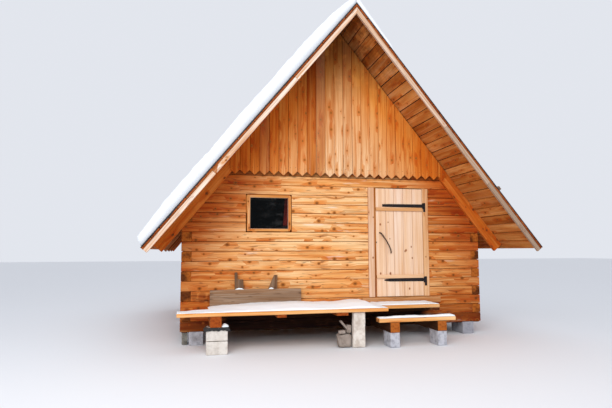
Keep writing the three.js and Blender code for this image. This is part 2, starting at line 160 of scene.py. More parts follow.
def sheet_over(x_range, y_range, cells, z=0.0):
    """A level grid over two ranges, with a number of cells each way."""
    made = bmesh.new()
    wide, long = x_range[1] - x_range[0], y_range[1] - y_range[0]
    middle = (sum(x_range) / 2, sum(y_range) / 2, z)
    place = Matrix.Translation(middle) @ Matrix.Diagonal((wide, long, 1, 1))
    bmesh.ops.create_grid(made, x_segments=cells[0], y_segments=cells[1], size=0.5, matrix=place)
    return made


def second_side(made):
    """Give a sheet a second side, and return its corners, which still lie on the first."""
    pushed = bmesh.ops.extrude_face_region(made, geom=made.faces[:])["geom"]
    return [part for part in pushed if isinstance(part, bmesh.types.BMVert)]


def face_outwards(made):
    """Turn every face to look out of the piece."""
    bmesh.ops.recalc_face_normals(made, faces=made.faces[:])


def put_at(made, place):
    """Move and turn a finished shape into its place."""
    bmesh.ops.transform(made, matrix=place, verts=made.verts[:])


def slice_off(made, point, outward):
    """Saw away what lies past a plane, and close the cut."""
    everything = made.verts[:] + made.edges[:] + made.faces[:]
    sawn = bmesh.ops.bisect_plane(
        made, geom=everything, plane_co=point, plane_no=outward, clear_outer=True
    )
    rim = [part for part in sawn["geom_cut"] if isinstance(part, bmesh.types.BMEdge)]
    if rim:
        bmesh.ops.contextual_create(made, geom=rim)


def ease_edges(made, width, segments=1):
    """Round the sharp edges."""
    made.normal_update()
    sharp = [e for e in made.edges if e.is_manifold and e.calc_face_angle() > SHARP]
    bmesh.ops.bevel(
        made,
        geom=sharp,
        offset=width,
        offset_type="OFFSET",
        affect="EDGES",
        segments=segments,
        profile=0.5,
        material=-1,
        clamp_overlap=True,
    )


def let_wander(made, along, amount, luck):
    """Divide a timber along its length, and move the sides in and out a little."""
    lengthwise = [
        e for e in made.edges if abs((e.verts[0].co - e.verts[1].co).normalized()[along]) > 0.9
    ]
    length = max(e.calc_length() for e in lengthwise)
    cuts = max(1, round(length / BEND_SPACING))
    bmesh.ops.subdivide_edges(made, edges=lengthwise, cuts=cuts, use_grid_fill=True)
    start = somewhere(luck, 90)
    for vert in made.verts:
        push = noise.noise_vector(vert.co * BEND_SCALE + start) * amount
        push[along] = 0.0
        vert.co += push


def mark_grain(made, along, luck, tone, grey):
    """Lay the grain on a timber: a UV map in metres, its tone, and which faces are ends."""
    made.normal_update()
    grain = made.loops.layers.uv.new("grain")
    tones = made.faces.layers.float.new("tone")
    greys = made.faces.layers.float.new("grey")
    ends = made.faces.layers.float.new("end_grain")
    start = Vector((luck.uniform(0, 60), luck.uniform(0, 60)))
    middle = sum((v.co for v in made.verts), Vector()) / len(made.verts)
    first, second = [axis for axis in range(3) if axis != along]
    for face in made.faces:
        face[tones] = tone
        face[greys] = grey
        if abs(face.normal[along]) > END_FACING:
            face[ends] = 1.0
            for loop in face.loops:
                offset = loop.vert.co - middle
                loop[grain].uv = (offset[first], offset[second])
            continue
        side = first if abs(face.normal[second]) > abs(face.normal[first]) else second
        for loop in face.loops:
            loop[grain].uv = Vector((loop.vert.co[along], loop.vert.co[side])) + start


def timber(
    low, high, along, luck, tone=0.5, grey=0.0,
    ease=0.004, rounds=1, wander=0.0, cuts=(), place=None,
):
    """One sawn timber between two corners, its grain along one axis.

    A cut is (point, outward), and what lies outward of the point is sawn off. The place moves
    and turns the finished timber.
    """
    made = block_between(Vector(low), Vector(high))
    if wander:
        let_wander(made, along, wander, luck)
    for point, outward in cuts:
        slice_off(made, point, outward)
    if ease:
        ease_edges(made, ease, rounds)
    mark_grain(made, along, luck, tone, grey)
    if place is not None:
        put_at(made, place)
        if place.determinant() < 0:
            bmesh.ops.reverse_faces(made, faces=made.faces[:])
    return made


def timber_in(x_range, y_range, z_range, along, luck, **how):
    """A timber that fills three ranges."""
    return timber(*zip(x_range, y_range, z_range), along, luck, **how)


def sawn_to_outline(outline, front, back, luck, tone):
    """An upright board sawn to an outline of (x, z) points."""
    made = bmesh.new()
    made.faces.new([made.verts.new((x, front, z)) for x, z in outline])
    for vert in second_side(made):
        vert.co.y = back
    face_outwards(made)
    ease_edges(made, 0.004)
    mark_grain(made, ALONG_Z, luck, tone, 0.0)
    return made


def worn_block(low, high, luck, ease=0.009, rough=0.0035, cuts=6):
    """A masonry block with worn corners and an uneven face."""
    low, high = Vector(low), Vector(high)
    middle = (low + high) / 2
    made = block_between(low, high)
    ease_edges(made, ease, segments=2)
    bmesh.ops.subdivide_edges(made, edges=made.edges[:], cuts=cuts, use_grid_fill=True)
    start = somewhere(luck, 50)
    for vert in made.verts:
        depth = (noise.fractal(vert.co * 19 + start, 0.7, 2.0, 4) - 0.6) * rough
        vert.co += (vert.co - middle).normalized() * min(depth, 0.0)
    return made


def limb(route, radii):
    """A tapering round limb along a route of points."""
    made = bmesh.new()
    points = [Vector(p) for p in route]
    rings = []
    for i, (point, radius) in enumerate(zip(points, radii)):
        ahead = points[min(i + 1, len(points) - 1)] - points[max(i - 1, 0)]
        place = Matrix.Translation(point) @ ahead.to_track_quat("Z", "Y").to_matrix().to_4x4()
        circle = bmesh.ops.create_circle(made, segments=LIMB_SIDES, radius=radius, matrix=place)
        rings.append([e for e in made.edges if all(v in circle["verts"] for v in e.verts)])
    for lower, upper in zip(rings, rings[1:]):
        bmesh.ops.bridge_loops(made, edges=lower + upper)
    for rim in (rings[0], rings[-1]):
        bmesh.ops.contextual_create(made, geom=rim)
    face_outwards(made)
    return made


def round_head(place, outward, **size):
    """The round head of a nail or bolt on a face towards the front (-1) or the back (1)."""
    made = bmesh.new()
    turn = Matrix.Rotation(-outward * math.pi / 2, 4, "X")
    bmesh.ops.create_cone(made, cap_ends=True, matrix=Matrix.Translation(place) @ turn, **size)
    return made


# Putting pieces into the house


def set_out(name, data):
    """Set a mesh, a lamp or a lens out in the scene."""
    made = bpy.data.objects.new(name, data)
    bpy.context.scene.collection.objects.link(made)
    return made


def assemble(name, parts, finish, slot, stands_for=(), body="house", smooth=False):
    """Join finished parts into one piece that rides on a body and stands for some solids."""
    mesh = bpy.data.meshes.new(name)
    joined = bmesh.new()
    for part in parts:
        part.to_mesh(mesh)
        joined.from_mesh(mesh)
        part.free()
    for face in joined.faces:
        face.smooth = smooth
    joined.to_mesh(mesh)
    joined.free()
    piece = set_out(name, mesh)
    mesh.materials.append(finish)
    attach(piece, body)
    if stands_for:
        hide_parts(*stands_for)


def in_place_of(name, node, along, luck, finish, slot, body="house", **how):
    """One timber in the place of a box-shaped solid."""
    low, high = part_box(node)
    assemble(name, [timber(low, high, along, luck, **how)], finish, slot, [node], body)


def refinish(node, finish):
    """Give a solid that stays as it is one finish."""
    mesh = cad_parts[node].data
    mesh.materials.clear()
    mesh.materials.append(finish)


# Patterns for the finishes


def wire(tree, kind, inputs=None, **settings):
    """Add a node, and set each input or join it to another node's output."""
    node = tree.nodes.new(kind)
    for key, value in settings.items():
        setattr(node, key, value)
    for key, value in (inputs or {}).items():
        if isinstance(value, bpy.types.NodeSocket):
            tree.links.new(value, node.inputs[key])
        else:
            node.inputs[key].default_value = value
    return node


def sums(tree, operation, first, second=0.0, clamp=False):
    inputs = {0: first, 1: second}
    return wire(tree, "ShaderNodeMath", inputs, operation=operation, use_clamp=clamp).outputs[0]


def plus(tree, first, second, clamp=False):
    return sums(tree, "ADD", first, second, clamp)


def minus(tree, first, second):
    return sums(tree, "SUBTRACT", first, second)


def times(tree, first, second, clamp=False):
    return sums(tree, "MULTIPLY", first, second, clamp)


def larger(tree, first, second):
    return sums(tree, "MAXIMUM", first, second)


def unsigned(tree, value):
    return sums(tree, "ABSOLUTE", value)


def vectors(tree, operation, first, second=(0.0, 0.0, 0.0)):
    return wire(tree, "ShaderNodeVectorMath", {0: first, 1: second}, operation=operation)


def stretched(tree, coordinates, by):
    return vectors(tree, "MULTIPLY", coordinates, by).outputs[0]


def length_of(tree, vector):
    return vectors(tree, "LENGTH", vector).outputs["Value"]


def cloudy(tree, coordinates, scale, detail=2.0, roughness=0.5):
    inputs = {"Vector": coordinates, "Scale": scale, "Detail": detail, "Roughness": roughness}
    return wire(tree, "ShaderNodeTexNoise", inputs).outputs["Fac"]


def streaky(tree, coordinates, scales, detail=2.0, roughness=0.5):
    """A cloudy pattern with its own scale along each axis."""
    return cloudy(tree, stretched(tree, coordinates, scales), 1.0, detail, roughness)


def spread(tree, value, low, high, to_low=0.0, to_high=1.0):
    """Map a value from one range to another, and hold it at the ends."""
    inputs = {"Value": value, "From Min": low, "From Max": high}
    inputs.update({"To Min": to_low, "To Max": to_high})
    return wire(tree, "ShaderNodeMapRange", inputs).outputs[0]


def paint(colour):
    return colour if isinstance(colour, bpy.types.NodeSocket) else (*colour, 1.0)


def tint(tree, amount, base, over, blend="MIX"):
    """Lay one colour over another by an amount."""
    inputs = {0: amount, 6: paint(base), 7: paint(over)}
    return wire(tree, "ShaderNodeMix", inputs, data_type="RGBA", blend_type=blend).outputs[2]


def stained(tree, amount, base, over):
    """Darken a colour towards a stain."""
    return tint(tree, amount, base, over, "MULTIPLY")


def graded(tree, value, stops):
    """Colours along a ramp, as (place, (r, g, b))."""
    ramp = wire(tree, "ShaderNodeValToRGB", {0: value})
    marks = ramp.color_ramp.elements
    while len(marks) < len(stops):
        marks.new(1.0)
    for mark, (place, colour) in zip(marks, stops):
        mark.position = place
        mark.color = paint(colour)
    return ramp.outputs[0]


def relief(tree, height, strength, distance):
    inputs = {"Height": height, "Strength": strength, "Distance": distance}
    return wire(tree, "ShaderNodeBump", inputs).outputs[0]


def in_place(tree):
    """The place of a point in the house."""
    return wire(tree, "ShaderNodeTexCoord").outputs["Object"]


def x_y_z(tree):
    """The three parts of a point's place in the house."""
    return wire(tree, "ShaderNodeSeparateXYZ", {0: in_place(tree)}).outputs[:]


def new_finish(name, roughness=0.9, specular=0.12):
    finish = bpy.data.materials.new(name)
    finish.use_nodes = True
    shader = finish.node_tree.nodes["Principled BSDF"]
    shader.inputs["Roughness"].default_value = roughness
    shader.inputs["Specular IOR Level"].default_value = specular
    return finish, finish.node_tree, shader


def put_on(shader, tree, patterns):
    """Lead each pattern into the shader's input of that name."""
    for name, pattern in patterns.items():
        tree.links.new(pattern, shader.inputs[name])


# Where the cottage is darkened, by painted shade and by stains, as pairs of the places where the
# darkening begins and is full.
ROOF_SHADE_TOP = 0.3
PEAK_Z = (3.8, 4.7)
PEAK_NOOK_Y = (-2.85, -2.4)
CORNER_X = (0.8, 2.3)
CORNER_Z = (1.15, 0.6)
DECK_MIDDLE = -0.2
UNDER_DECK_X = (1.72, 1.6)
UNDER_DECK_Y = (-1.6, -2.0)
UNDER_DECK_Z = (0.47, 0.4)
GABLE_FEET_Z = (GABLE_FOOT - 0.012, GABLE_FOOT + 0.006)


def under_roof_shade(tree, reach):
    """How close under the roof a point is, for painted shade: 1 near its underside, and 0 a reach
    below it.
    """
    x, _, z = x_y_z(tree)
    aside = times(tree, unsigned(tree, x), RISE)
    below = times(tree, minus(tree, APEX_Z, z), DOWN)
    return spread(tree, minus(tree, below, aside), ROOF_SHADE_TOP, reach, 1.0, 0.0)


def peak_grime_and_shade(tree):
    """Grimy patches high up under the ridge, and painted shade there, deepest where the gable wall
    meets the roof.
    """
    _, y, z = x_y_z(tree)
    blotches = spread(tree, cloudy(tree, in_place(tree), 5.0, 4.0, 0.65), 0.42, 0.56)
    nook = spread(tree, y, *PEAK_NOOK_Y, 0.0, 0.7)
    return times(tree, spread(tree, z, *PEAK_Z), plus(tree, blotches, nook, clamp=True))


def near_corner(tree):
    """How near a point is to the left or right corner of the house, most of all low down."""
    x, _, z = x_y_z(tree)
    low = spread(tree, z, *CORNER_Z, 0.6, 0.95)
    return times(tree, spread(tree, unsigned(tree, x), *CORNER_X), low)


def shade_behind_porch(tree):
    """Where the front wall lies in shade behind the porch, for painted shade."""
    x, y, z = x_y_z(tree)
    aside = unsigned(tree, minus(tree, x, DECK_MIDDLE))
    behind = times(tree, spread(tree, aside, *UNDER_DECK_X), spread(tree, z, *UNDER_DECK_Z))
    return times(tree, behind, spread(tree, y, *UNDER_DECK_Y))


def shadow_under_gable_feet(tree):
    """The top of the front wall behind the pointed feet of the gable boards, for a painted shadow.
    """
    return spread(tree, x_y_z(tree)[2], *GABLE_FEET_Z, 0.0, 0.5)


# Wood

# Cells to a metre of timber, each with one knot or none.
KNOT_CELLS = 5.2
# Flattens an upright face for single knots, which are longer upwards than across.
KNOT_UPRIGHT = (1.0, 0.0, 0.72)
# The tone of a timber that has no marks of its own.
UNMARKED_TONE = 0.3


def scattered_knots(tree, flat, share, size):
    """Masks of the hearts of scattered knots, their brown rims, and the long stain round each."""
    squeezed = stretched(tree, flat, (0.8, 1.0, 0.0))
    cells = {"Vector": squeezed, "Scale": KNOT_CELLS, "Randomness": 0.9}
    field = wire(tree, "ShaderNodeTexVoronoi", cells, voronoi_dimensions="2D")
    lot = wire(tree, "ShaderNodeSeparateColor", {0: field.outputs["Color"]})
    present = sums(tree, "LESS_THAN", lot.outputs[0], share)
    radius = times(tree, spread(tree, lot.outputs[1], 0.0, 1.0, 0.45 * size, 1.3 * size), present)
    aside = vectors(tree, "SUBTRACT", squeezed, field.outputs["Position"]).outputs[0]
    apart = length_of(tree, aside)
    drawn_out = length_of(tree, stretched(tree, aside, (0.35, 1.0, 0.0)))

    def mask(reach, far, hardness):
        """1 well inside this many radii of the knot's middle, and 0 outside."""
        within = minus(tree, times(tree, radius, reach), far)
        return times(tree, within, hardness / size, clamp=True)

    return mask(0.55, apart, 5.0), mask(1.0, apart, 3.2), mask(2.3, drawn_out, 0.6)


def knots_at(tree, places, share=1.0):
    """A mask of single knots at (x, z, radius) on an upright face, at a share of their size."""
    where = stretched(tree, in_place(tree), KNOT_UPRIGHT)
    mask = 0.0
    for x, z, radius in places:
        centre = Vector((x, 0.0, z)) * Vector(KNOT_UPRIGHT)
        apart = vectors(tree, "DISTANCE", where, centre).outputs["Value"]
        mask = larger(tree, spread(tree, apart, radius * share, radius * share * 0.6), mask)
    return mask


def end_grain(tree, flat, colour, fresh):
    """The growth rings on a sawn end, round the timber's heart, some ends fresher than others."""
    circles = sums(tree, "SINE", times(tree, length_of(tree, flat), 700.0))
    uneven = spread(tree, cloudy(tree, in_place(tree), 4.6), 0.44, 0.56)
    wood = tint(tree, uneven, colour, fresh or colour)
    ringed = stained(tree, spread(tree, circles, -1.0, 1.0, 0.0, 0.45), wood, (0.55, 0.4, 0.3))
    blotch = spread(tree, cloudy(tree, flat, 30.0, 3.0), 0.45, 0.65, 0.0, 0.7)
    return stained(tree, blotch, ringed, (0.45, 0.3, 0.2))


def grain_places(tree, turned):
    """The places along a timber's grain, and its marks. A turned timber is even in tone."""
    if turned is not None:
        places = {"Vector": in_place(tree), "Rotation": turned}
        return wire(tree, "ShaderNodeMapping", places).outputs[0], {"tone": UNMARKED_TONE}
    marks = {
        mark: wire(tree, "ShaderNodeAttribute", attribute_name=mark).outputs["Fac"]
        for mark in ("tone", "grey", "end_grain")
    }
    return wire(tree, "ShaderNodeUVMap", uv_map="grain").outputs[0], marks


def sawn_pine(
    name,
    tones,
    knot_share=0.5,
    knot_size=0.02,
    single_knots=(),
    rim_colour=(0.34, 0.11, 0.02),
    heart_colour=(0.14, 0.045, 0.012),
    grain_depth=0.5,
    band_depth=0.6,
    streaks=0.4,
    cracks=0.0,
    bleached=0.0,
    painted_roof_shade=0.0,
    painted_roof_shade_reach=1.3,
    painted_roof_shade_colour=(0.6, 0.34, 0.15),
    deeper_at_corners=0.0,
    painted_shade_and_shadow=0.0,
    peak_dirt_and_shade=0.0,
    dark_spots=(),
    grey_colour=(0.36, 0.27, 0.2),
    end_colour=(0.12, 0.028, 0.005),
    fresh_end=None,
    turned=None,
):
    """Sawn pine: lines and bands along the grain, knots with a brown rim and a long stain."""
    finish, tree, shader = new_finish(name)
    flat, marks = grain_places(tree, turned)
    heart, rim, stain = scattered_knots(tree, flat, knot_share, knot_size)
    if single_knots:
        heart = larger(tree, heart, knots_at(tree, single_knots, 0.6))
        rim = larger(tree, rim, knots_at(tree, single_knots))

    # The grain sways, and bends round the knots.
    broad = streaky(tree, flat, (1.3, 7.0, 7.0))
    bend = plus(tree, spread(tree, broad, 0.0, 1.0, -0.022, 0.022), times(tree, stain, 0.03))
    sway = wire(tree, "ShaderNodeCombineXYZ", {"Y": bend}).outputs[0]
    bent = vectors(tree, "ADD", flat, sway).outputs[0]
    patches = streaky(tree, flat, (0.8, 4.5, 4.5), 3.0)
    worn = streaky(tree, bent, (0.65, 19.5, 19.5))
    bands = streaky(tree, bent, (0.6, 21.0, 21.0))
    rings = streaky(tree, bent, (0.9, 62.0, 62.0), 3.0, 0.6)
    fine = streaky(tree, bent, (7.0, 300.0, 300.0))

    # The wood itself
    drift = spread(tree, patches, 0.3, 0.7, -0.2, 0.2)
    colour = graded(tree, plus(tree, marks["tone"], drift, clamp=True), tones)
    colour = tint(tree, spread(tree, worn, 0.52, 0.66, 0.0, streaks), colour, tones[-1][1])
    for amount, shade in (
        (spread(tree, bands, 0.5, 0.62, 0.0, band_depth), (0.76, 0.5, 0.27)),
        (spread(tree, rings, 0.42, 0.64, 0.0, grain_depth), (0.76, 0.53, 0.32)),
        (times(tree, fine, 0.22), (0.8, 0.66, 0.52)),
        (times(tree, stain, 0.75), (0.82, 0.48, 0.2)),
    ):
        colour = stained(tree, amount, colour, shade)
    if bleached:
        rubbed = streaky(tree, flat, (1.4, 11.0, 11.0), 3.0, 0.6)
        pale = spread(tree, rubbed, 0.64, 0.72, 0.0, bleached)
        colour = tint(tree, pale, colour, (0.8, 0.7, 0.62))
    # Painted shade: the wood darkens towards the roof's underside, where the overhang shades it.
    if painted_roof_shade:
        near = times(tree, under_roof_shade(tree, painted_roof_shade_reach), painted_roof_shade)
        colour = stained(tree, near, colour, painted_roof_shade_colour)
    colour = tint(tree, times(tree, rim, 0.8), colour, rim_colour)
    colour = tint(tree, times(tree, heart, 0.85), colour, heart_colour)

    # Darker towards the corners low down, what weather and age have done to it, and painted shade
    # behind the porch, under the gable boards' feet and high under the peak
    if deeper_at_corners:
        amount = times(tree, near_corner(tree), deeper_at_corners)
        colour = stained(tree, amount, colour, (0.72, 0.5, 0.3))
    # Painted shade behind the porch and painted shadow under the gable boards' feet, in near black.
    if painted_shade_and_shadow:
        shade_and_shadow_mask = larger(tree, shade_behind_porch(tree), shadow_under_gable_feet(tree))
        colour = stained(tree, times(tree, shade_and_shadow_mask, painted_shade_and_shadow), colour, (0.05, 0.035, 0.028))
    # Grime and painted shade high up under the ridge.
    if peak_dirt_and_shade:
        colour = stained(tree, times(tree, peak_grime_and_shade(tree), peak_dirt_and_shade), colour, (0.4, 0.38, 0.42))
    if dark_spots:
        darkened = times(tree, knots_at(tree, dark_spots), spread(tree, worn, 0.35, 0.55))
        colour = stained(tree, darkened, colour, (0.5, 0.36, 0.26))
    if cracks:
        split = streaky(tree, bent, (1.1, 34.0, 34.0), 1.0)
        narrow = unsigned(tree, minus(tree, split, 0.5))
        crack = spread(tree, narrow, 0.018, 0.006, 0.0, cracks)
        colour = tint(tree, crack, colour, (0.09, 0.035, 0.018))
    if "grey" in marks:
        faded = times(tree, marks["grey"], spread(tree, patches, 0.25, 0.5, 0.55, 1.0))
        dark_grey = tuple(0.6 * part for part in grey_colour)
        colour = tint(tree, faded, colour, tint(tree, rings, grey_colour, dark_grey))
        sawn_end = end_grain(tree, flat, end_colour, fresh_end)
        colour = tint(tree, marks["end_grain"], colour, sawn_end)

    height = plus(tree, times(tree, rings, 0.7), times(tree, fine, 0.3))
    height = minus(tree, height, times(tree, rim, 0.25))
    put_on(shader, tree, {
        "Base Color": colour,
        "Roughness": spread(tree, rings, 0.3, 0.7, 0.66, 0.86),
        "Normal": relief(tree, height, 0.35, 0.004),
    })
    return finish


# Block, felt, iron, snow, glass and bark


def masonry(name, light, dark, stain, stain_share=0.5):
    """Rough cast block: a mottled face with pores and damp stains."""
    finish, tree, shader = new_finish(name, roughness=0.93)
    where = in_place(tree)
    mottle = cloudy(tree, where, 14.0, 5.0, 0.65)
    grit = cloudy(tree, where, 160.0, 3.0, 0.7)
    damp = cloudy(tree, where, 4.5, 4.0, 0.6)
    colour = graded(tree, mottle, [(0.3, dark), (0.55, light), (1.0, light)])
    colour = tint(tree, spread(tree, grit, 0.55, 0.75, 0.0, 0.35), colour, dark)
    colour = tint(tree, spread(tree, damp, 0.5, 0.72, 0.0, stain_share), colour, stain)
    height = plus(tree, times(tree, mottle, 0.6), times(tree, grit, 0.4))
    put_on(shader, tree, {"Base Color": colour, "Normal": relief(tree, height, 0.6, 0.006)})
    return finish


def roofing_felt(name):
    """Bitumen felt: dull black, with a sanded face, rubbed patches and a pale line at each lap."""
    finish, tree, shader = new_finish(name)
    where = in_place(tree)
    sand = cloudy(tree, where, 260.0, 2.0, 0.7)
    rubbed = cloudy(tree, where, 2.6, 4.0, 0.6)
    colour = graded(tree, rubbed, [(0.3, (0.02, 0.019, 0.02)), (0.7, (0.055, 0.052, 0.052))])
    colour = tint(tree, spread(tree, sand, 0.5, 0.8, 0.0, 0.4), colour, (0.11, 0.105, 0.1))
    below_ridge = minus(tree, APEX_Z, x_y_z(tree)[2])
    broken = spread(tree, rubbed, 0.35, 0.55)
    for _, lower in FELT_LAPS:
        off = unsigned(tree, minus(tree, below_ridge, lower * RISE))
        line = times(tree, spread(tree, off, 0.022, 0.006, 0.0, 0.6), broken)
        colour = tint(tree, line, colour, (0.15, 0.145, 0.14))
    height = plus(tree, times(tree, rubbed, 0.6), times(tree, sand, 0.3))
    put_on(shader, tree, {"Base Color": colour, "Normal": relief(tree, height, 0.5, 0.006)})
    return finish


def black_iron(name):
    """Forged iron with old black paint that has worn to brown in places."""
    finish, tree, shader = new_finish(name, specular=0.3)
    shader.inputs["Metallic"].default_value = 0.2
    worn = cloudy(tree, in_place(tree), 38.0, 4.0, 0.65)
    stops = [(0.45, (0.009, 0.008, 0.01)), (0.8, (0.035, 0.018, 0.013))]
    put_on(shader, tree, {
        "Base Color": graded(tree, worn, stops),
        "Roughness": spread(tree, worn, 0.3, 0.7, 0.5, 0.75),
        "Normal": relief(tree, worn, 0.3, 0.002),
    })
    return finish


def settled_snow(name, hollow_shade, crest):
    """Snow with a fine grain, and a painted blue shade in its hollows."""
    finish, tree, shader = new_finish(name, roughness=0.62, specular=0.15)
    where = in_place(tree)
    drifts = cloudy(tree, where, 2.3, 3.0)
    grains = cloudy(tree, where, 240.0, 2.0, 0.7)
    clods = cloudy(tree, where, 17.0, 3.0, 0.55)
    mixed = plus(tree, times(tree, drifts, 0.8), times(tree, clods, 0.2))
    height = plus(tree, times(tree, clods, 0.8), times(tree, grains, 0.2))
    put_on(shader, tree, {
        "Base Color": graded(tree, mixed, [(0.36, hollow_shade), (0.58, crest)]),
        "Normal": relief(tree, height, 0.28, 0.012),
    })
    return finish


# Where the curtain shows through the pane: its edge at its hem, its lean, and the hem's height.
CURTAIN_X = -0.943
CURTAIN_LEAN = 0.075
CURTAIN_HEM = 1.79


def window_pane(name):
    """Clear dusty glass before a dark room, coloured near black as painted shade of the room, with
    a red curtain along its right side that painted light brightens towards its hem.
    """
    finish, tree, shader = new_finish(name, specular=0.05)
    shader.inputs["Transmission Weight"].default_value = 0.8
    shader.inputs["IOR"].default_value = 1.15
    where = in_place(tree)
    smears = streaky(tree, where, (5.0, 1.0, 11.0), 3.0, 0.7)
    colour = graded(tree, smears, [(0.52, (0.008, 0.01, 0.011)), (0.75, (0.1, 0.1, 0.1))])
    x, _, z = x_y_z(tree)
    above_hem = minus(tree, z, CURTAIN_HEM)
    across = minus(tree, x, times(tree, above_hem, CURTAIN_LEAN))
    beside = spread(tree, across, CURTAIN_X, CURTAIN_X + 0.02)
    hung = times(tree, beside, spread(tree, above_hem, 0.0, 0.03))
    # Painted light: the curtain is brighter towards its hem.
    lit = spread(tree, above_hem, 0.1, 0.45, 0.9, 0.5)
    folds = streaky(tree, where, (34.0, 1.0, 2.5))
    cloth = graded(tree, folds, [(0.35, (0.12, 0.012, 0.01)), (0.65, (0.46, 0.07, 0.055))])
    film = cloudy(tree, where, 9.0, 4.0, 0.6)
    put_on(shader, tree, {
        "Base Color": tint(tree, times(tree, hung, lit), colour, cloth),
        "Roughness": spread(tree, film, 0.35, 0.75, 0.03, 0.14),
    })
    return finish


def bare_branch(name):
    """Grey-brown bark, mottled along and across the branch."""
    finish, tree, shader = new_finish(name)
    bark = cloudy(tree, in_place(tree), 55.0, 4.0, 0.65)
    stops = [(0.35, (0.045, 0.026, 0.018)), (0.55, (0.11, 0.066, 0.045)), (0.8, (0.24, 0.17, 0.12))]
    put_on(shader, tree, {
        "Base Color": graded(tree, bark, stops),
        "Normal": relief(tree, bark, 0.6, 0.004),
    })
    return finish


# The tones of each wood, from its darkest timber to its palest
LOG_TONES = [
    (0.0, (0.15, 0.04, 0.006)), (0.3, (0.42, 0.135, 0.022)), (0.6, (0.72, 0.295, 0.07)),
    (0.8, (0.84, 0.43, 0.15)), (1.0, (0.9, 0.61, 0.32)),
]
BOARD_TONES = [
    (0.0, (0.19, 0.045, 0.005)), (0.3, (0.44, 0.14, 0.02)), (0.62, (0.72, 0.34, 0.1)),
    (1.0, (0.82, 0.61, 0.4)),
]
RAFTER_TONES = [(0.0, (0.2, 0.035, 0.003)), (0.5, (0.62, 0.16, 0.016)), (1.0, (0.8, 0.32, 0.07))]
PALE_TONES = [
    (0.0, (0.5, 0.2, 0.06)), (0.35, (0.68, 0.4, 0.22)), (0.7, (0.78, 0.55, 0.4)),
    (1.0, (0.82, 0.64, 0.52)),
]
VERGE_TONES = [
    (0.0, (0.42, 0.15, 0.04)), (0.4, (0.62, 0.43, 0.3)), (0.7, (0.76, 0.6, 0.49)),
    (1.0, (0.8, 0.68, 0.6)),
]
SILL_TONES = [(0.0, (0.24, 0.11, 0.045)), (0.5, (0.58, 0.28, 0.11)), (1.0, (0.7, 0.44, 0.24))]
DOOR_TONES = [
    (0.0, (0.66, 0.34, 0.14)), (0.4, (0.78, 0.49, 0.27)), (0.75, (0.83, 0.585, 0.4)),
    (1.0, (0.85, 0.66, 0.52)),
]
WEATHERED_TONES = [
    (0.0, (0.1, 0.055, 0.03)), (0.4, (0.24, 0.155, 0.1)), (0.75, (0.36, 0.26, 0.185)),
    (1.0, (0.46, 0.35, 0.26)),
]
DARK_TONES = [(0.0, (0.015, 0.007, 0.004)), (0.5, (0.05, 0.02, 0.008)), (1.0, (0.2, 0.09, 0.035))]

# Single knots on the door and on its posts, as (x, z, radius)
DOOR_KNOTS = [
    (0.695, 1.838, 0.019), (0.832, 1.874, 0.012), (0.86, 1.6, 0.011), (1.239, 1.467, 0.015),
    (1.143, 1.409, 0.02), (1.125, 1.394, 0.016), (1.253, 1.281, 0.015), (0.859, 1.029, 0.022),
    (0.688, 1.031, 0.018), (1.193, 0.776, 0.018),
]
POST_KNOTS = [(0.573, 1.955, 0.014), (0.56, 1.29, 0.017), (1.5, 1.3, 0.013)]
# Dark patches of old bark and cracks at the left corner, as (x, z, radius)
LOG_SPOTS = [(-2.3, 0.735, 0.06), (-2.18, 0.7, 0.08), (-2.06, 0.68, 0.07), (-2.4, 0.5, 0.05)]

log_pine = sawn_pine(
    "log pine", LOG_TONES, knot_share=0.8, knot_size=0.029,
    rim_colour=(0.4, 0.13, 0.02), heart_colour=(0.18, 0.055, 0.012),
    grain_depth=0.6, band_depth=0.85, streaks=0.6, cracks=0.5, bleached=0.6,
    # Painted shade under the roof.
    painted_roof_shade=0.95, painted_roof_shade_reach=1.0, painted_roof_shade_colour=(0.72, 0.36, 0.12),
    # Painted shade behind the porch and painted shadow under the gable boards' feet.
    deeper_at_corners=1.0, painted_shade_and_shadow=1.0, dark_spots=LOG_SPOTS,
    end_colour=(0.13, 0.032, 0.004), fresh_end=(0.46, 0.13, 0.016),
)
orange_pine = sawn_pine(
    # Grime and painted shade under the peak.
    "deep orange board", BOARD_TONES, knot_share=0.7, knot_size=0.024, streaks=0.1, peak_dirt_and_shade=0.8,
    end_colour=(0.36, 0.075, 0.01),
)
rafter_pine = sawn_pine(
    "rafter timber", RAFTER_TONES, knot_share=0.9, knot_size=0.03, rim_colour=(0.2, 0.05, 0.01)
)
gable_pine = sawn_pine(
    "gable board", BOARD_TONES, knot_share=0.8, knot_size=0.021,
    rim_colour=(0.42, 0.14, 0.02), heart_colour=(0.26, 0.08, 0.015),
    # Grime and painted shade under the peak.
    grain_depth=0.6, band_depth=0.7, peak_dirt_and_shade=0.9,
    # Painted shade under the roof.
    painted_roof_shade=1.0, painted_roof_shade_reach=1.6, painted_roof_shade_colour=(0.92, 0.52, 0.15),
    grey_colour=(0.46, 0.3, 0.17),
)
bearer_pine = sawn_pine(
    "step bearer", DARK_TONES, knot_share=0.2, streaks=0.1, end_colour=(0.45, 0.13, 0.02)
)
pale_pine = sawn_pine(
    "pale planed pine", PALE_TONES, knot_share=0.2, knot_size=0.012, single_knots=POST_KNOTS,
    heart_colour=(0.2, 0.07, 0.025), grain_depth=0.6, band_depth=0.3, end_colour=(0.5, 0.25, 0.11),
)
verge_pine = sawn_pine(
    "verge board", VERGE_TONES, knot_share=0.35, knot_size=0.014,
    grain_depth=0.9, band_depth=0.8, streaks=0.3, cracks=0.4, end_colour=(0.5, 0.25, 0.11),
)
sill_pine = sawn_pine(
    "sill board", SILL_TONES, knot_share=0.2,
    grain_depth=0.7, streaks=0.2, cracks=0.5, end_colour=(0.25, 0.12, 0.05),
)
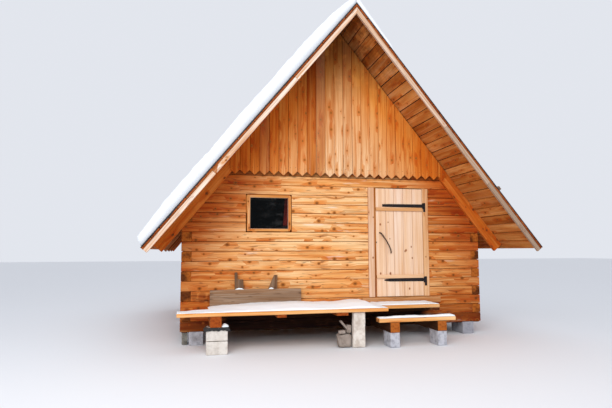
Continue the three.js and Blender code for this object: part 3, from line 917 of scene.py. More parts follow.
door_pine = sawn_pine(
    "door board", DOOR_TONES, knot_share=0.0, single_knots=DOOR_KNOTS,
    heart_colour=(0.2, 0.06, 0.03), grain_depth=0.32, band_depth=0.3,
)
post_pine = sawn_pine(
    "tan post", DOOR_TONES, knot_share=0.25, knot_size=0.013, single_knots=POST_KNOTS,
    grain_depth=0.7,
)
plank_pine = sawn_pine(
    "porch plank", LOG_TONES, knot_share=0.35, streaks=0.5, end_colour=(0.5, 0.2, 0.05)
)
weathered_pine = sawn_pine(
    "weathered board", WEATHERED_TONES, knot_share=0.12,
    rim_colour=(0.12, 0.07, 0.045), heart_colour=(0.06, 0.035, 0.022),
    grain_depth=0.7, streaks=0.15, cracks=0.75, end_colour=(0.2, 0.13, 0.09),
)
# Near black: painted shade on the ledger hidden under the deck.
shade_dark_pine = sawn_pine("timber dark with painted shade", DARK_TONES, knot_share=0.2, streaks=0.1)
left_rafter_pine = sawn_pine(
    "left rafter timber", BOARD_TONES, knot_share=0.0, turned=(0.0, PITCH, 0.0)
)
right_rafter_pine = sawn_pine(
    "right rafter timber", BOARD_TONES, knot_share=0.0, turned=(0.0, -PITCH, 0.0)
)
grey_block = masonry("grey block", (0.52, 0.52, 0.56), (0.26, 0.26, 0.29), (0.16, 0.14, 0.13))
corner_block = masonry("corner block", (0.36, 0.36, 0.4), (0.24, 0.24, 0.27), (0.2, 0.18, 0.17))
rubble_block = masonry("rubble", (0.34, 0.28, 0.24), (0.2, 0.155, 0.125), (0.1, 0.07, 0.05))
shaded_block = masonry("shaded block", (0.25, 0.235, 0.2), (0.13, 0.125, 0.11), (0.08, 0.07, 0.06))
white_block = masonry(
    "white block", (0.68, 0.63, 0.575), (0.5, 0.45, 0.4), (0.38, 0.3, 0.24), stain_share=0.3
)
mottled_post = masonry("mottled post", (0.74, 0.68, 0.61), (0.54, 0.46, 0.39), (0.36, 0.27, 0.2))
felt = roofing_felt("roofing felt")
iron = black_iron("black iron")
# The same snow twice: painted dimmer on the roof, where more light falls, and brighter on the
# porch, which lies in shade.
roof_snow_painted_dim = settled_snow("snow on the roof", (0.7, 0.725, 0.765), (0.75, 0.768, 0.795))
porch_snow_painted_bright = settled_snow("snow on the porch", (0.86, 0.94, 1.0), (0.9, 0.96, 1.0))
pane = window_pane("window pane")
bark = bare_branch("bare branch")


# Log walls

# How light each front log is, from the lowest up: painted dark for the shade under the deck, palest
# beside the door, and the top two darker for the painted shade of the gable overhang.
FRONT_LOG_TONES_AND_SHADE = [
    0.1, 0.28, 0.64, 0.82, 0.84, 0.82, 0.86, 0.84, 0.95,
    0.94, 0.95, 0.99, 0.83, 0.92, 0.92, 0.78, 0.73,
]
# How much painted shade darkens them right of the door, from the lowest up.
SHADE_RIGHT_OF_DOOR = [
    0.0, 0.0, 0.0, 0.0, 0.06, 0.0, 0.06, 0.18, 0.2, 0.38, 0.44, 0.44, 0.32, 0.4, 0.34, 0.22, 0.12,
]
DARKER_LEFT_OF_WINDOW = 0.08
OTHER_LOG_TONES = (0.6, 0.85)
DARKER_WHEN_DAMP = 0.22
LOG_GAPS = (0.0015, 0.006)
LOG_EASE = 0.0085
LOG_WANDER = 0.0022
TOW_DEPTH = 0.022
TOW_HALF = 0.009


def course_z(course):
    return WALL_BOTTOM + course * LOG


def under_roof(below=FRAME_TOP):
    """The two cuts that keep a timber under the roof, this far below the felt's face."""
    return [
        (Vector((0, 0, APEX_Z - below / DOWN)), Vector((side * RISE, 0, DOWN)))
        for side, _ in SIDES
    ]


def corner_reach(course):
    """How far a front or back log runs: odd ones stop at the side logs that lap them."""
    laps = course % 2 == 1 and course < SIDE_COURSES
    return HALF_WIDTH - LOG if laps else HALF_WIDTH


def log_on_tow(low, high, along, luck, tone, cuts=()):
    """A log with its corners rounded, and the strip of dark tow that it is bedded on."""
    low, high = Vector(low), Vector(high)
    under = Vector((0, 0, luck.uniform(*LOG_GAPS)))
    over = Vector((0, 0, LOG_GAPS[0]))
    shape = {"ease": LOG_EASE, "rounds": 2, "wander": LOG_WANDER, "cuts": cuts}
    log = timber(low + under, high - over, along, luck, tone, **shape)
    tow_low = low + Vector((TOW_DEPTH, TOW_DEPTH, -TOW_HALF))
    tow_high = Vector((high.x - TOW_DEPTH, high.y - TOW_DEPTH, low.z + TOW_HALF))
    return [log, timber(tow_low, tow_high, along, luck, tone=0.0, ease=0.0, cuts=cuts)]


def cross_log(course, left, right, outer_y, luck, tone):
    """A log of the front or back wall."""
    z = course_z(course)
    low, high = (left, outer_y, z), (right, outer_y + LOG, z + LOG)
    cuts = under_roof() if course >= SIDE_COURSES - 1 else ()
    return log_on_tow(low, high, ALONG_X, luck, tone, cuts)


def any_log_tone(luck, course):
    damp = DARKER_WHEN_DAMP if course < BASE_COURSES else 0.0
    return luck.uniform(*OTHER_LOG_TONES) - damp


def front_wall():
    """The courses under the door, beside it and over it. The window breaks some on the left."""
    luck = Random("front wall")
    walls = {"base": [], "left": [], "right": [], "top": []}
    for course, tone in enumerate(FRONT_LOG_TONES_AND_SHADE):
        reach = corner_reach(course)
        if course < BASE_COURSES or course >= DOOR_HEAD_COURSE:
            word = "base" if course < BASE_COURSES else "top"
            walls[word] += cross_log(course, -reach, reach, FRONT_Y, luck, tone)
            continue
        start = -reach
        if WINDOW_COURSES[0] <= course < WINDOW_COURSES[1]:
            dimmed = tone - DARKER_LEFT_OF_WINDOW
            walls["left"] += cross_log(course, -reach, WINDOW_HOLE[0], FRONT_Y, luck, dimmed)
            start = WINDOW_HOLE[1]
        walls["left"] += cross_log(course, start, DOOR_HOLE[0], FRONT_Y, luck, tone)
        # Painted shade right of the door.
        shaded = tone - SHADE_RIGHT_OF_DOOR[course]
        walls["right"] += cross_log(course, DOOR_HOLE[1], reach, FRONT_Y, luck, shaded)
    for word, logs in walls.items():
        assemble(f"logs_front_{word}", logs, log_pine, "pine_log", [f"front_wall_{word}"])


def back_wall():
    luck = Random("back wall")
    logs = []
    for course in range(GABLE_COURSES):
        reach = corner_reach(course)
        logs += cross_log(course, -reach, reach, BACK_Y - LOG, luck, any_log_tone(luck, course))
    assemble("logs_back", logs, log_pine, "pine_log", ["back_wall"])


def rafter_places():
    """The middles of the rafters, from front to back."""
    first = FRONT_Y - RAFTER_WIDTH / 2
    last = BACK_Y + RAFTER_WIDTH / 2
    return [first + (last - first) * i / (RAFTERS - 1) for i in range(RAFTERS)]


def side_wall(name, node, side):
    """Odd logs run out to the wall faces, and the top log is in lengths between the rafters."""
    luck = Random(name)
    outer = side * HALF_WIDTH
    inner = outer - side * LOG
    near, far = min(outer, inner), max(outer, inner)
    logs = []
    for course in range(SIDE_COURSES):
        lapped = 0.0 if course % 2 == 1 else LOG
        ends = [FRONT_Y + lapped, BACK_Y - lapped]
        if course == SIDE_COURSES - 1:
            for y in rafter_places()[1:-1]:
                ends[-1:-1] = [y - RAFTER_WIDTH / 2 - FIT, y + RAFTER_WIDTH / 2 + FIT]
        z = course_z(course)
        for front, back in zip(ends[::2], ends[1::2]):
            tone = any_log_tone(luck, course)
            logs += log_on_tow((near, front, z), (far, back, z + LOG), ALONG_Y, luck, tone)
    assemble(name, logs, log_pine, "pine_log", [node])


# Roof

RIDGE_CUT = (Vector((0, 0, 0)), Vector((-DOWN, 0, -RISE)))
RIDGE_SPARE = 0.3
ROOF_BOARD_WIDTHS = (0.165, 0.19)
ROOF_BOARD_GAPS = (0.008, 0.016)
ROOF_BOARD_ENDS = (0.0, 0.008)
ABOVE_RIDGE = -0.045
NARROWEST_TOP_BOARD = 0.05
VERGE_FILLET = 0.013
VERGE_JOINT = 0.002
# Half the length of a slanted joint.
VERGE_SCARF = 0.05


def slope_place(side):
    """From (distance down the slope, y, height off the felt) to the house."""
    return Matrix(
        (
            (side * DOWN, 0, side * RISE, 0),
            (0, 1, 0, 0),
            (-RISE, 0, DOWN, APEX_Z),
            (0, 0, 0, 1),
        )
    )


def ridge_cuts(upper):
    """The cut at the ridge, where a timber starts above it."""
    return [RIDGE_CUT] if upper < 0 else []


def roof_boards(name, node, side, tones):
    """Boards laid from the eave up, with gaps that show dark from below."""
    luck = Random(name)
    top = -FELT - FIT
    boards = []
    lower = SLOPE
    while lower > ABOVE_RIDGE:
        upper = lower - luck.uniform(*ROOF_BOARD_WIDTHS)
        if upper < NARROWEST_TOP_BOARD:
            upper = ABOVE_RIDGE
        front = ROOF_FRONT + luck.uniform(*ROOF_BOARD_ENDS)
        back = ROOF_BACK - luck.uniform(*ROOF_BOARD_ENDS)
        edge = upper + luck.uniform(*ROOF_BOARD_GAPS)
        boards.append(
            timber_in(
                (edge, lower), (front, back), (top - ROOF_BOARD, top), ALONG_Y, luck,
                tone=luck.uniform(*tones), ease=0.002,
                cuts=ridge_cuts(upper), place=slope_place(side),
            )
        )
        lower = upper
    assemble(name, boards, orange_pine, "orange_board", [node])


def verge(name, node, side, front, lengths, scarfed=None):
    """The pale edge board, in lengths of (lower end, tone, grey), and the brown fillet above it.

    The joint at the scarfed place is cut on a slant, and the others are square.
    """
    luck = Random(name)
    place = slope_place(side)
    width = (front, front + VERGE_WIDTH)
    top = -FRAME_TOP - VERGE_FILLET
    foot = -FRAME_TOP - VERGE_DEPTH
    slant = Vector((top - foot, 0, 2 * VERGE_SCARF)).normalized()
    boards = []
    upper = -RIDGE_SPARE
    for lower, tone, grey in lengths:
        start, end = upper + VERGE_JOINT, lower
        cuts = ridge_cuts(upper)
        if upper == scarfed:
            cuts.append((Vector((start, 0, (top + foot) / 2)), -slant))
            start -= 2 * VERGE_SCARF
        if lower == scarfed:
            cuts.append((Vector((end, 0, (top + foot) / 2)), slant))
            end += 2 * VERGE_SCARF
        boards.append(
            timber_in(
                (start, end), width, (foot, top), ALONG_X, luck,
                tone=tone, grey=grey, ease=0.003, cuts=cuts, place=place,
            )
        )
        upper = lower
    assemble(name, boards, verge_pine, "pale_board", [node])
    fillet = timber_in(
        (-RIDGE_SPARE, SLOPE), width, (top, -FRAME_TOP), ALONG_X, luck,
        tone=0.08, ease=0.001, cuts=[RIDGE_CUT], place=place,
    )
    assemble(f"{name}_fillet", [fillet], orange_pine, "orange_board", [node])


def gable_rafter(name, node, side, y, tone):
    made = timber(
        (-RIDGE_SPARE, y - RAFTER_WIDTH / 2, -FRAME_TOP - RAFTER_DEPTH),
        (SLOPE - RAFTER_TAIL, y + RAFTER_WIDTH / 2, -FRAME_TOP),
        ALONG_X, Random(name), tone, ease=0.003, cuts=[RIDGE_CUT], place=slope_place(side),
    )
    assemble(name, [made], rafter_pine, "orange_board", [node])


# A pair of faces is given off the felt for laps and batten, and along Y for the folds.
LAP_FACES = (0.0004, 0.004)
LAP_INSET = 0.002
BATTEN = (3.54, 3.6)
BATTEN_FACES = (0.004, 0.042)
BATTEN_INSET = 0.004
FOLD_FACES = (-3.2535, -3.2505)
FOLD_DROP = 0.012
FOLD_CELL = 0.03
# The folds' wavy border and its tears, as (share of the drop, scale, seed).
FOLD_WAVE = (0.7, 3.0, 40.0)
FOLD_TEARS = (0.9, 9.0, 41.0)


def felt_laps():
    """The borders of the felt strips, each lapped over the one below, and the ridge strip."""
    luck = Random("felt laps")
    ends = (ROOF_FRONT + LAP_INSET, ROOF_BACK - LAP_INSET)
    for side, word in SIDES:
        strips = [
            timber_in(
                lap, ends, LAP_FACES, ALONG_Y, luck,
                ease=0.001, cuts=ridge_cuts(lap[0]), place=slope_place(side),
            )
            for lap in FELT_LAPS
        ]
        assemble(f"felt_laps_{word}", strips, felt, "roof_felt")


def felt_folds():
    """The felt's front borders, folded down over the ends of the boards by an uneven drop."""
    count = round(SLOPE / FOLD_CELL)
    for side, word in SIDES:
        made = bmesh.new()
        above, below = [], []
        for i in range(count + 1):
            s = SLOPE * i / count
            uneven = ripples(s, side, [FOLD_WAVE]) + max(0.0, ripples(s, side, [FOLD_TEARS]))
            above.append(made.verts.new((s, FOLD_FACES[0], 0.0)))
            below.append(made.verts.new((s, FOLD_FACES[0], -FOLD_DROP * (1 + uneven))))
        for i in range(count):
            made.faces.new((above[i], above[i + 1], below[i + 1], below[i]))
        for vert in second_side(made):
            vert.co.y = FOLD_FACES[1]
        slice_off(made, *RIDGE_CUT)
        put_at(made, slope_place(side))
        face_outwards(made)
        assemble(f"felt_fold_{word}", [made], felt, "roof_felt")


def felt_batten():
    """The batten that holds the felt down, low on the right slope."""
    ends = (ROOF_FRONT + BATTEN_INSET, ROOF_BACK - BATTEN_INSET)
    made = timber_in(
        BATTEN, ends, BATTEN_FACES, ALONG_Y, Random("felt batten"),
        tone=0.6, ease=0.003, place=slope_place(RIGHT),
    )
    assemble("felt_batten", [made], weathered_pine, "weathered_board")


def roof():
    roof_boards("boards_left_slope", "roof_boards_left", LEFT, (0.45, 0.75))
    roof_boards("boards_right_slope", "roof_boards_right", RIGHT, (0.32, 0.6))
    refinish("roof_felt", felt)
    felt_laps()
    felt_folds()
    felt_batten()
    places = rafter_places()
    for (side, word), finish in zip(SIDES, (left_rafter_pine, right_rafter_pine)):
        gable_rafter(f"front_rafter_{word}", f"rafter_{word}_1", side, places[0], 0.52)
        gable_rafter(f"back_rafter_{word}", f"rafter_{word}_{RAFTERS}", side, places[-1], 0.45)
        for i in range(2, RAFTERS):
            refinish(f"rafter_{word}_{i}", finish)


def verges():
    front, back = ROOF_FRONT, ROOF_BACK - VERGE_WIDTH
    left_front = [(1.54, 0.8, 0.0), (3.28, 0.9, 0.0), (3.345, 0.0, 0.0), (SLOPE, 0.85, 0.0)]
    right_front = [(2.3, 0.7, 0.15), (3.4, 0.55, 0.5), (SLOPE, 0.4, 0.75)]
    verge("verge_front_left", "front_verge_left", LEFT, front, left_front, scarfed=3.28)
    verge("verge_front_right", "front_verge_right", RIGHT, front, right_front)
    verge("verge_back_left", "back_verge_left", LEFT, back, [(2.4, 0.8, 0.1), (SLOPE, 0.7, 0.3)])
    verge("verge_back_right", "back_verge_right", RIGHT, back, [(2.1, 0.7, 0.1), (SLOPE, 0.6, 0.4)])


# Gables

# How light each front board is, from left to right: brown ones, then orange, then pale ones.
FRONT_GABLE_TONES = [
    0.52, 0.54, 0.56, 0.44, 0.62, 0.75, 0.78, 0.8, 0.4, 0.66, 0.98, 0.95,
    0.92, 1.0, 0.94, 0.98, 0.96, 0.9, 0.8, 0.74, 0.68, 0.62, 0.56, 0.5,
]
GREYED_FRONT_BOARDS = {3: 0.12, 9: 0.3, 12: 0.1}
BACK_GABLE_TONES = (0.4, 0.8)
BOARD_SEAMS = (0.0015, 0.005)
FOOT_UNEVEN = 0.006
FOOT_SPARE = 0.01
NAIL_ROW = GABLE_SHOULDER + 0.05
NAIL_UNEVEN = 0.012
NAILS_ASIDE = (-0.04, 0.04)
NAIL_MIDDLE = 0.0008
NAIL_HEAD = {"radius1": 0.0045, "radius2": 0.00315, "depth": 0.002, "segments": 8}


def gable(name, node, rafter_face, outward, tones, greyed):
    """Upright boards with pointed feet over a rail."""
    luck = Random(name)
    face = rafter_face + outward * GABLE_THICK
    boards, nails = [], []
    lean = GABLE_SHOULDER - GABLE_FOOT
    for i, tone in enumerate(tones):
        left = GABLE_LEFT + i * GABLE_BOARD
        middle = left + GABLE_BOARD / 2
        foot = GABLE_FOOT + luck.uniform(-FOOT_UNEVEN, FOOT_UNEVEN)
        cuts = [
            (Vector((middle, 0, foot)), Vector((side * lean, 0, -GABLE_BOARD / 2)).normalized())
            for side, _ in SIDES
        ]
        cuts += under_roof(FRAME_TOP + GABLE_DROP)
        edges = (left + luck.uniform(*BOARD_SEAMS), left + GABLE_BOARD - BOARD_SEAMS[0])
        boards.append(
            timber_in(
                edges, sorted((rafter_face, face)), (foot - FOOT_SPARE, APEX_Z), ALONG_Z, luck,
                tone=tone, grey=greyed.get(i, 0.0), ease=0.003, cuts=cuts,
            )
        )
        for aside in NAILS_ASIDE:
            z = NAIL_ROW + luck.uniform(-NAIL_UNEVEN, NAIL_UNEVEN)
            place = (middle + aside, face + outward * NAIL_MIDDLE, z)
            nails.append(round_head(place, outward, **NAIL_HEAD))
    rail_half = (APEX_Z - RAIL_TOP - (FRAME_TOP + RAFTER_DEPTH + FIT) / DOWN) / math.tan(PITCH)
    rail_y = sorted((rafter_face, rafter_face - outward * RAFTER_WIDTH))
    rail_z = (GABLE_SHOULDER, RAIL_TOP)
    boards.append(timber_in((-rail_half, rail_half), rail_y, rail_z, ALONG_X, luck, tone=0.3))
    assemble(name, boards, gable_pine, "orange_board", [node])
    assemble(f"{name}_nails", nails, iron, "black_iron")


def gables():
    front, back = FRONT_Y - RAFTER_WIDTH, BACK_Y + RAFTER_WIDTH
    luck = Random("back gable tones")
    back_tones = [luck.uniform(*BACK_GABLE_TONES) for _ in FRONT_GABLE_TONES]
    gable("gable_boards_front", "front_gable", front, -1, FRONT_GABLE_TONES, GREYED_FRONT_BOARDS)
    gable("gable_boards_back", "back_gable", back, 1, back_tones, {})


# Window

WEDGE_HIGH = 0.013
WEDGE_WIDE = 0.06
WEDGES_INSET = (0.09, 0.15)
# Strips that fill the gap beside the frame: (left, right, foot).
PACKING = [(-1.522, -1.5125, 2.0), (-0.8195, -0.805, 1.74)]
PACKING_BELOW_TOP = 0.01
# How far each timber stands back from the face of the stiles.
RAIL_BACK, PACKING_BACK, WEDGE_BACK, LATH_BACK = 0.002, 0.006, 0.01, 0.012
BEAD = 0.0045
BEAD_THICK = 0.01
BEAD_OFF_PANE = 0.0002


def window():
    """A frame of four timbers on two wedges, with a pale putty rim round the pane."""
    luck = Random("window")
    low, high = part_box("window_frame")
    pane_low, pane_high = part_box("window_glass")
    foot = low.z + WEDGE_HIGH
    timbers = []

    def fit(left, right, bottom, top, set_back, along, tone, ease):
        depth = (low.y + set_back, high.y)
        made = timber_in((left, right), depth, (bottom, top), along, luck, tone=tone, ease=ease)
        timbers.append(made)

    for left, right in ((low.x, pane_low.x), (pane_high.x, high.x)):
        fit(left, right, foot, high.z, 0.0, ALONG_Z, tone=0.6, ease=0.004)
    for bottom, top in ((foot, pane_low.z), (pane_high.z, high.z)):
        fit(pane_low.x, pane_high.x, bottom, top, RAIL_BACK, ALONG_X, tone=0.62, ease=0.003)
    for left in (low.x + WEDGES_INSET[0], high.x - WEDGES_INSET[1]):
        fit(left, left + WEDGE_WIDE, low.z, foot, WEDGE_BACK, ALONG_X, tone=0.4, ease=0.002)
    fit(low.x, high.x, high.z, high.z + WEDGE_HIGH, LATH_BACK, ALONG_X, tone=0.3, ease=0.001)
    for left, right, bottom in PACKING:
        top = high.z - PACKING_BELOW_TOP
        fit(left, right, bottom, top, PACKING_BACK, ALONG_Z, tone=0.4, ease=0.001)
    assemble("window_timbers", timbers, orange_pine, "orange_board", ["window_frame"])
    refinish("window_glass", pane)

    bead_back = pane_low.y - BEAD_OFF_PANE
    depth = (bead_back - BEAD_THICK, bead_back)
    width = (pane_low.x + BEAD, pane_high.x - BEAD)
    height = (pane_low.z, pane_high.z)
    beads = []
    for edges in ((pane_low.x, width[0]), (width[1], pane_high.x)):
        beads.append(timber_in(edges, depth, height, ALONG_Z, luck, tone=0.8, ease=0.002))
    for edges in ((height[0], height[0] + BEAD), (height[1] - BEAD, height[1])):
        beads.append(timber_in(width, depth, edges, ALONG_X, luck, tone=0.85, ease=0.002))
    assemble("window_beads", beads, pale_pine, "pale_board")


# Door

# The leaf's boards from left to right, as (right edge, tone).
LEAF_BOARDS = [(0.789, 0.74), (0.936, 0.82), (1.102, 0.84), (1.267, 0.68), (1.453, 0.7)]
LEAF_SEAM = 0.0022
LEAF_STRIP = 0.013
REBATE_WIDTH = 0.011
REBATE_BACK = 0.003
# The iron catch high on the leaf's left edge.
CATCH = ((0.612, -2.276, 1.53), (0.627, -2.2702, 1.554))
HINGE_MIDDLES = {"low": 0.922, "high": 2.155}
STRAP_BOLTS_X = (0.8, 0.98, 1.16, 1.34)
PLATE_BOLT_X = 1.49
PLATE_BOLTS_UP = (-0.08, -0.055, 0.04)
BOLT_Y = -2.277
BOLT_HEAD = {"radius1": 0.006, "radius2": 0.00492, "depth": 0.004, "segments": 12}
BOLT_EASE = 0.0012


def door():
    luck = Random("door")
    low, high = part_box("door_boards")
    depth, height = (low.y, high.y), (low.z, high.z)
    boards = []
    left = low.x + LEAF_STRIP
    for right, tone in LEAF_BOARDS:
        edges = (left + LEAF_SEAM, right - LEAF_SEAM)
        boards.append(timber_in(edges, depth, height, ALONG_Z, luck, tone=tone, ease=0.003))
        left = right
    assemble("door_leaf", boards, door_pine, "door_board", ["door_boards"], "door")
    edges = (low.x, low.x + LEAF_STRIP)
    strip = timber_in(edges, depth, height, ALONG_Z, luck, tone=0.3, ease=0.001)
    assemble("leaf_edge_strip", [strip], orange_pine, "orange_board", ["door_boards"], "door")
    catch = timber(*CATCH, ALONG_Z, luck, ease=0.002)
    assemble("door_catch", [catch], iron, "black_iron", body="door")
    ledge = (ALONG_X, luck, door_pine, "door_board", "door")
    in_place_of("ledge_low", "door_ledge_low", *ledge, tone=0.55)
    in_place_of("ledge_high", "door_ledge_high", *ledge, tone=0.0)
    sill = (ALONG_X, luck, sill_pine, "weathered_board")
    in_place_of("board_under_door", "door_sill_board", *sill, tone=0.55, wander=0.0015)


def door_posts():
    """The posts beside the leaf. The left one has an orange strip along its rebate."""
    luck = Random("door posts")
    low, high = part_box("door_post_left")
    strip_left = high.x - REBATE_WIDTH
    post = timber(low, (strip_left, high.y, high.z), ALONG_Z, luck, tone=0.54)
    assemble("post_left_of_door", [post], pale_pine, "pale_board", ["door_post_left"])
    front = (strip_left, low.y + REBATE_BACK, low.z)
    strip = timber(front, high, ALONG_Z, luck, tone=0.2, ease=0.001)
    assemble("post_rebate", [strip], orange_pine, "orange_board")
    right = (ALONG_Z, luck, post_pine, "pale_board")
    in_place_of("post_right_of_door", "door_post_right", *right, tone=0.3)


def bolt(x, z):
    """A domed bolt head on a strap or a plate."""
    made = round_head((x, BOLT_Y, z), -1, **BOLT_HEAD)
    ease_edges(made, BOLT_EASE, segments=2)
    return made


def hinges():
    strap_bolts, plate_bolts = [], []
    for word, middle in HINGE_MIDDLES.items():
        refinish(f"door_strap_{word}", iron)
        refinish(f"hinge_plate_{word}", iron)
        strap_bolts += [bolt(x, middle) for x in STRAP_BOLTS_X]
        plate_bolts += [bolt(PLATE_BOLT_X, middle + up) for up in PLATE_BOLTS_UP]
    assemble("strap_bolts", strap_bolts, iron, "black_iron", body="door")
    assemble("plate_bolts", plate_bolts, iron, "black_iron")


# The handle's middle line as (x, distance off the door's face, z).
BRANCH_ROUTE = [
    (0.683, 0.000, 1.700), (0.685, 0.014, 1.699), (0.694, 0.029, 1.690), (0.722, 0.040, 1.655),
    (0.748, 0.048, 1.612), (0.771, 0.050, 1.580), (0.792, 0.053, 1.543), (0.808, 0.055, 1.510),
    (0.822, 0.055, 1.487), (0.838, 0.053, 1.452), (0.850, 0.048, 1.425), (0.861, 0.037, 1.395),
    (0.868, 0.024, 1.372), (0.872, 0.011, 1.367), (0.873, 0.000, 1.366),
]
BRANCH_FACE = -2.2705
BRANCH_RADIUS = 0.0125
BRANCH_TAPER = 0.0003
BRANCH_CROOKED = 0.0015
BRANCH_LUMPS = (-0.0008, 0.0012)


def branch_handle():
    """A bent branch, fixed to the leaf by both its ends."""
    luck = Random("branch")

    def astray():
        return luck.uniform(-BRANCH_CROOKED, BRANCH_CROOKED)

    route = [(x + astray(), BRANCH_FACE - off, z + astray()) for x, off, z in BRANCH_ROUTE]
    radii = [
        BRANCH_RADIUS - BRANCH_TAPER * i + luck.uniform(*BRANCH_LUMPS) for i in range(len(route))
    ]
    branch = [limb(route, radii)]
    assemble("branch_handle", branch, bark, "branch", ["door_handle"], "door", smooth=True)


# Blocks

PIER_JOINT = 0.182
PIER_JOINT_HALF = 0.003
# A dark block in the shade under the left corner.
CORNER_PROP = ((-2.472, -2.2, 0.001), (-2.388, -1.95, 0.197))
# The rubble by the post: (middle, size, turn about Y).
RUBBLE = [
    ((-0.145, -2.9, 0.1), (0.21, 0.17, 0.196), 0.0),
    ((-0.074, -2.9, 0.262), (0.075, 0.08, 0.12), 0.1),
    ((-0.128, -2.89, 0.3), (0.22, 0.07, 0.028), 0.86),
    ((-0.19, -2.94, 0.226), (0.1, 0.07, 0.05), -0.1),
]
# How worn a stone's edges are and how rough it is, as shares of its least size.
RUBBLE_EASE = 0.2
RUBBLE_ROUGH = 0.08
# How much narrower the post is at its top left corner, and the share of that at its foot.
POST_TAPER = 0.026
POST_FOOT_SHARE = 0.4
# The pad's borders: how far they stick out, how near the front one keeps to the pier, and how
# steeply and unevenly they droop.
PAD_BORDER = 0.034
PAD_FRONT_OFF = 0.004
PAD_FRONT_SHARE = 0.25
PAD_DROOP = 1.15
PAD_RAGGED = 0.6
PAD_RAGGED_SCALE = 22
PAD_CELLS = (30, 18)
PAD_THICK = 0.0025
PAD_SUNK = 0.0012


def tapered_post(luck):
    """The mottled post, with its left side leaning in towards its top."""
    low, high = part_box("porch_post")
    post = worn_block(low, high, luck, ease=0.014, rough=0.008)
    for vert in post.verts:
        up = (vert.co.z - low.z) / (high.z - low.z)
        leftward = (high.x - vert.co.x) / (high.x - low.x)
        vert.co.x += POST_TAPER * (POST_FOOT_SHARE + (1 - POST_FOOT_SHARE) * up) * leftward
    return post


def stone(middle, size, turn, luck):
    half = Vector(size) / 2
    ease, rough = RUBBLE_EASE * min(size), RUBBLE_ROUGH * min(size)
    made = worn_block(-half, half, luck, ease=ease, rough=rough, cuts=2)
    place = Matrix.Translation(middle) @ Matrix.Rotation(turn, 4, "Y")
    put_at(made, place)
    return made


def blocks():
    luck = Random("blocks")
    nodes = [f"block_{row}_{word}" for row in ("front", "middle", "back") for _, word in SIDES]
    for node in nodes + ["step_block_1", "step_block_2"]:
        low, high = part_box(node)
        finish = corner_block if node == "block_front_right" else grey_block
        assemble(f"masonry_{node}", [worn_block(low, high, luck)], finish, "block", [node])
    low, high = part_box("porch_pier")
    pier = [
        worn_block(low, (high.x, high.y, PIER_JOINT - PIER_JOINT_HALF), luck),
        worn_block((low.x, low.y, PIER_JOINT + PIER_JOINT_HALF), high, luck),
    ]
    assemble("pier_blocks", pier, white_block, "block", ["porch_pier"])
    assemble("rough_post", [tapered_post(luck)], mottled_post, "block", ["porch_post"])
    assemble("corner_prop", [worn_block(*CORNER_PROP, luck, rough=0.012)], shaded_block, "block")
    rubble = [stone(*place, luck) for place in RUBBLE]
    assemble("rubble_by_post", rubble, rubble_block, "block")


def felt_pad():
    """A scrap of felt between the pier and the beam, with drooping ragged borders."""
    low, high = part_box("porch_pier")
    x_range = (low.x - PAD_BORDER, high.x + PAD_BORDER)
    made = sheet_over(x_range, (low.y - PAD_BORDER, high.y), PAD_CELLS, high.z - PAD_SUNK)
    for vert in made.verts:
        past = max(low.x - vert.co.x, vert.co.x - high.x, low.y - vert.co.y, 0.0)
        if vert.co.y < low.y:
            vert.co.y = low.y - PAD_FRONT_OFF - PAD_FRONT_SHARE * (low.y - vert.co.y)
        vert.co.z -= past * (PAD_DROOP + PAD_RAGGED * noise.noise(vert.co * PAD_RAGGED_SCALE))
    bmesh.ops.solidify(made, geom=made.faces[:], thickness=PAD_THICK)
    face_outwards(made)
    assemble("felt_pad", [made], felt, "roof_felt")


# Porch

CLEAT_DEPTH = 0.045
END_CLEAT = 0.15
LEDGER_PROUD = 0.1
# The two long cleats from left to right.
CLEATS = [(-1.16, -1.025), (-0.29, -0.115)]
# The bench's legs as outlines of (x, z): one notched near its top, one tapered.
NOTCHED_LEG = [
    (-1.69, DECK_TOP), (-1.545, DECK_TOP), (-1.57, 0.972),
    (-1.65, 0.972), (-1.657, 1.08), (-1.7, 1.08),
]
TAPERED_LEG = [(-1.29, DECK_TOP), (-1.053, DECK_TOP), (-1.038, 1.033), (-1.088, 1.033)]
BENCH_PLANK_THICK = 0.04
BENCH_LEG_THICK = 0.03
FLOOR_BOARDS = 34
FLOOR_BOARD_THICK = 0.04
FLOOR_SEAM_HALF = 0.001
FLOOR_TONES = (0.5, 0.8)
JOISTS = 8
JOIST_WIDTH = 0.075


def porch():
    luck = Random("porch")
    plank = (ALONG_X, luck, plank_pine, "porch_plank")
    sawn = {"wander": 0.002, "ease": 0.005}
    in_place_of("outer_plank", "porch_plank_outer", *plank, tone=0.72, **sawn)
    in_place_of("inner_plank", "porch_plank_inner", *plank, tone=0.78, **sawn)
    in_place_of("step_board", "step_plank", *plank, tone=0.9, **sawn)
    beam = (ALONG_Y, luck, orange_pine, "orange_board")
    in_place_of("front_beam", "porch_beam", *beam, tone=0.1, ease=0.005)
    bearer = (ALONG_Y, luck, bearer_pine, "orange_board")
    in_place_of("bearer_left", "step_bearer_1", *bearer, tone=0.4)
    in_place_of("bearer_right", "step_bearer_2", *bearer, tone=0.4)


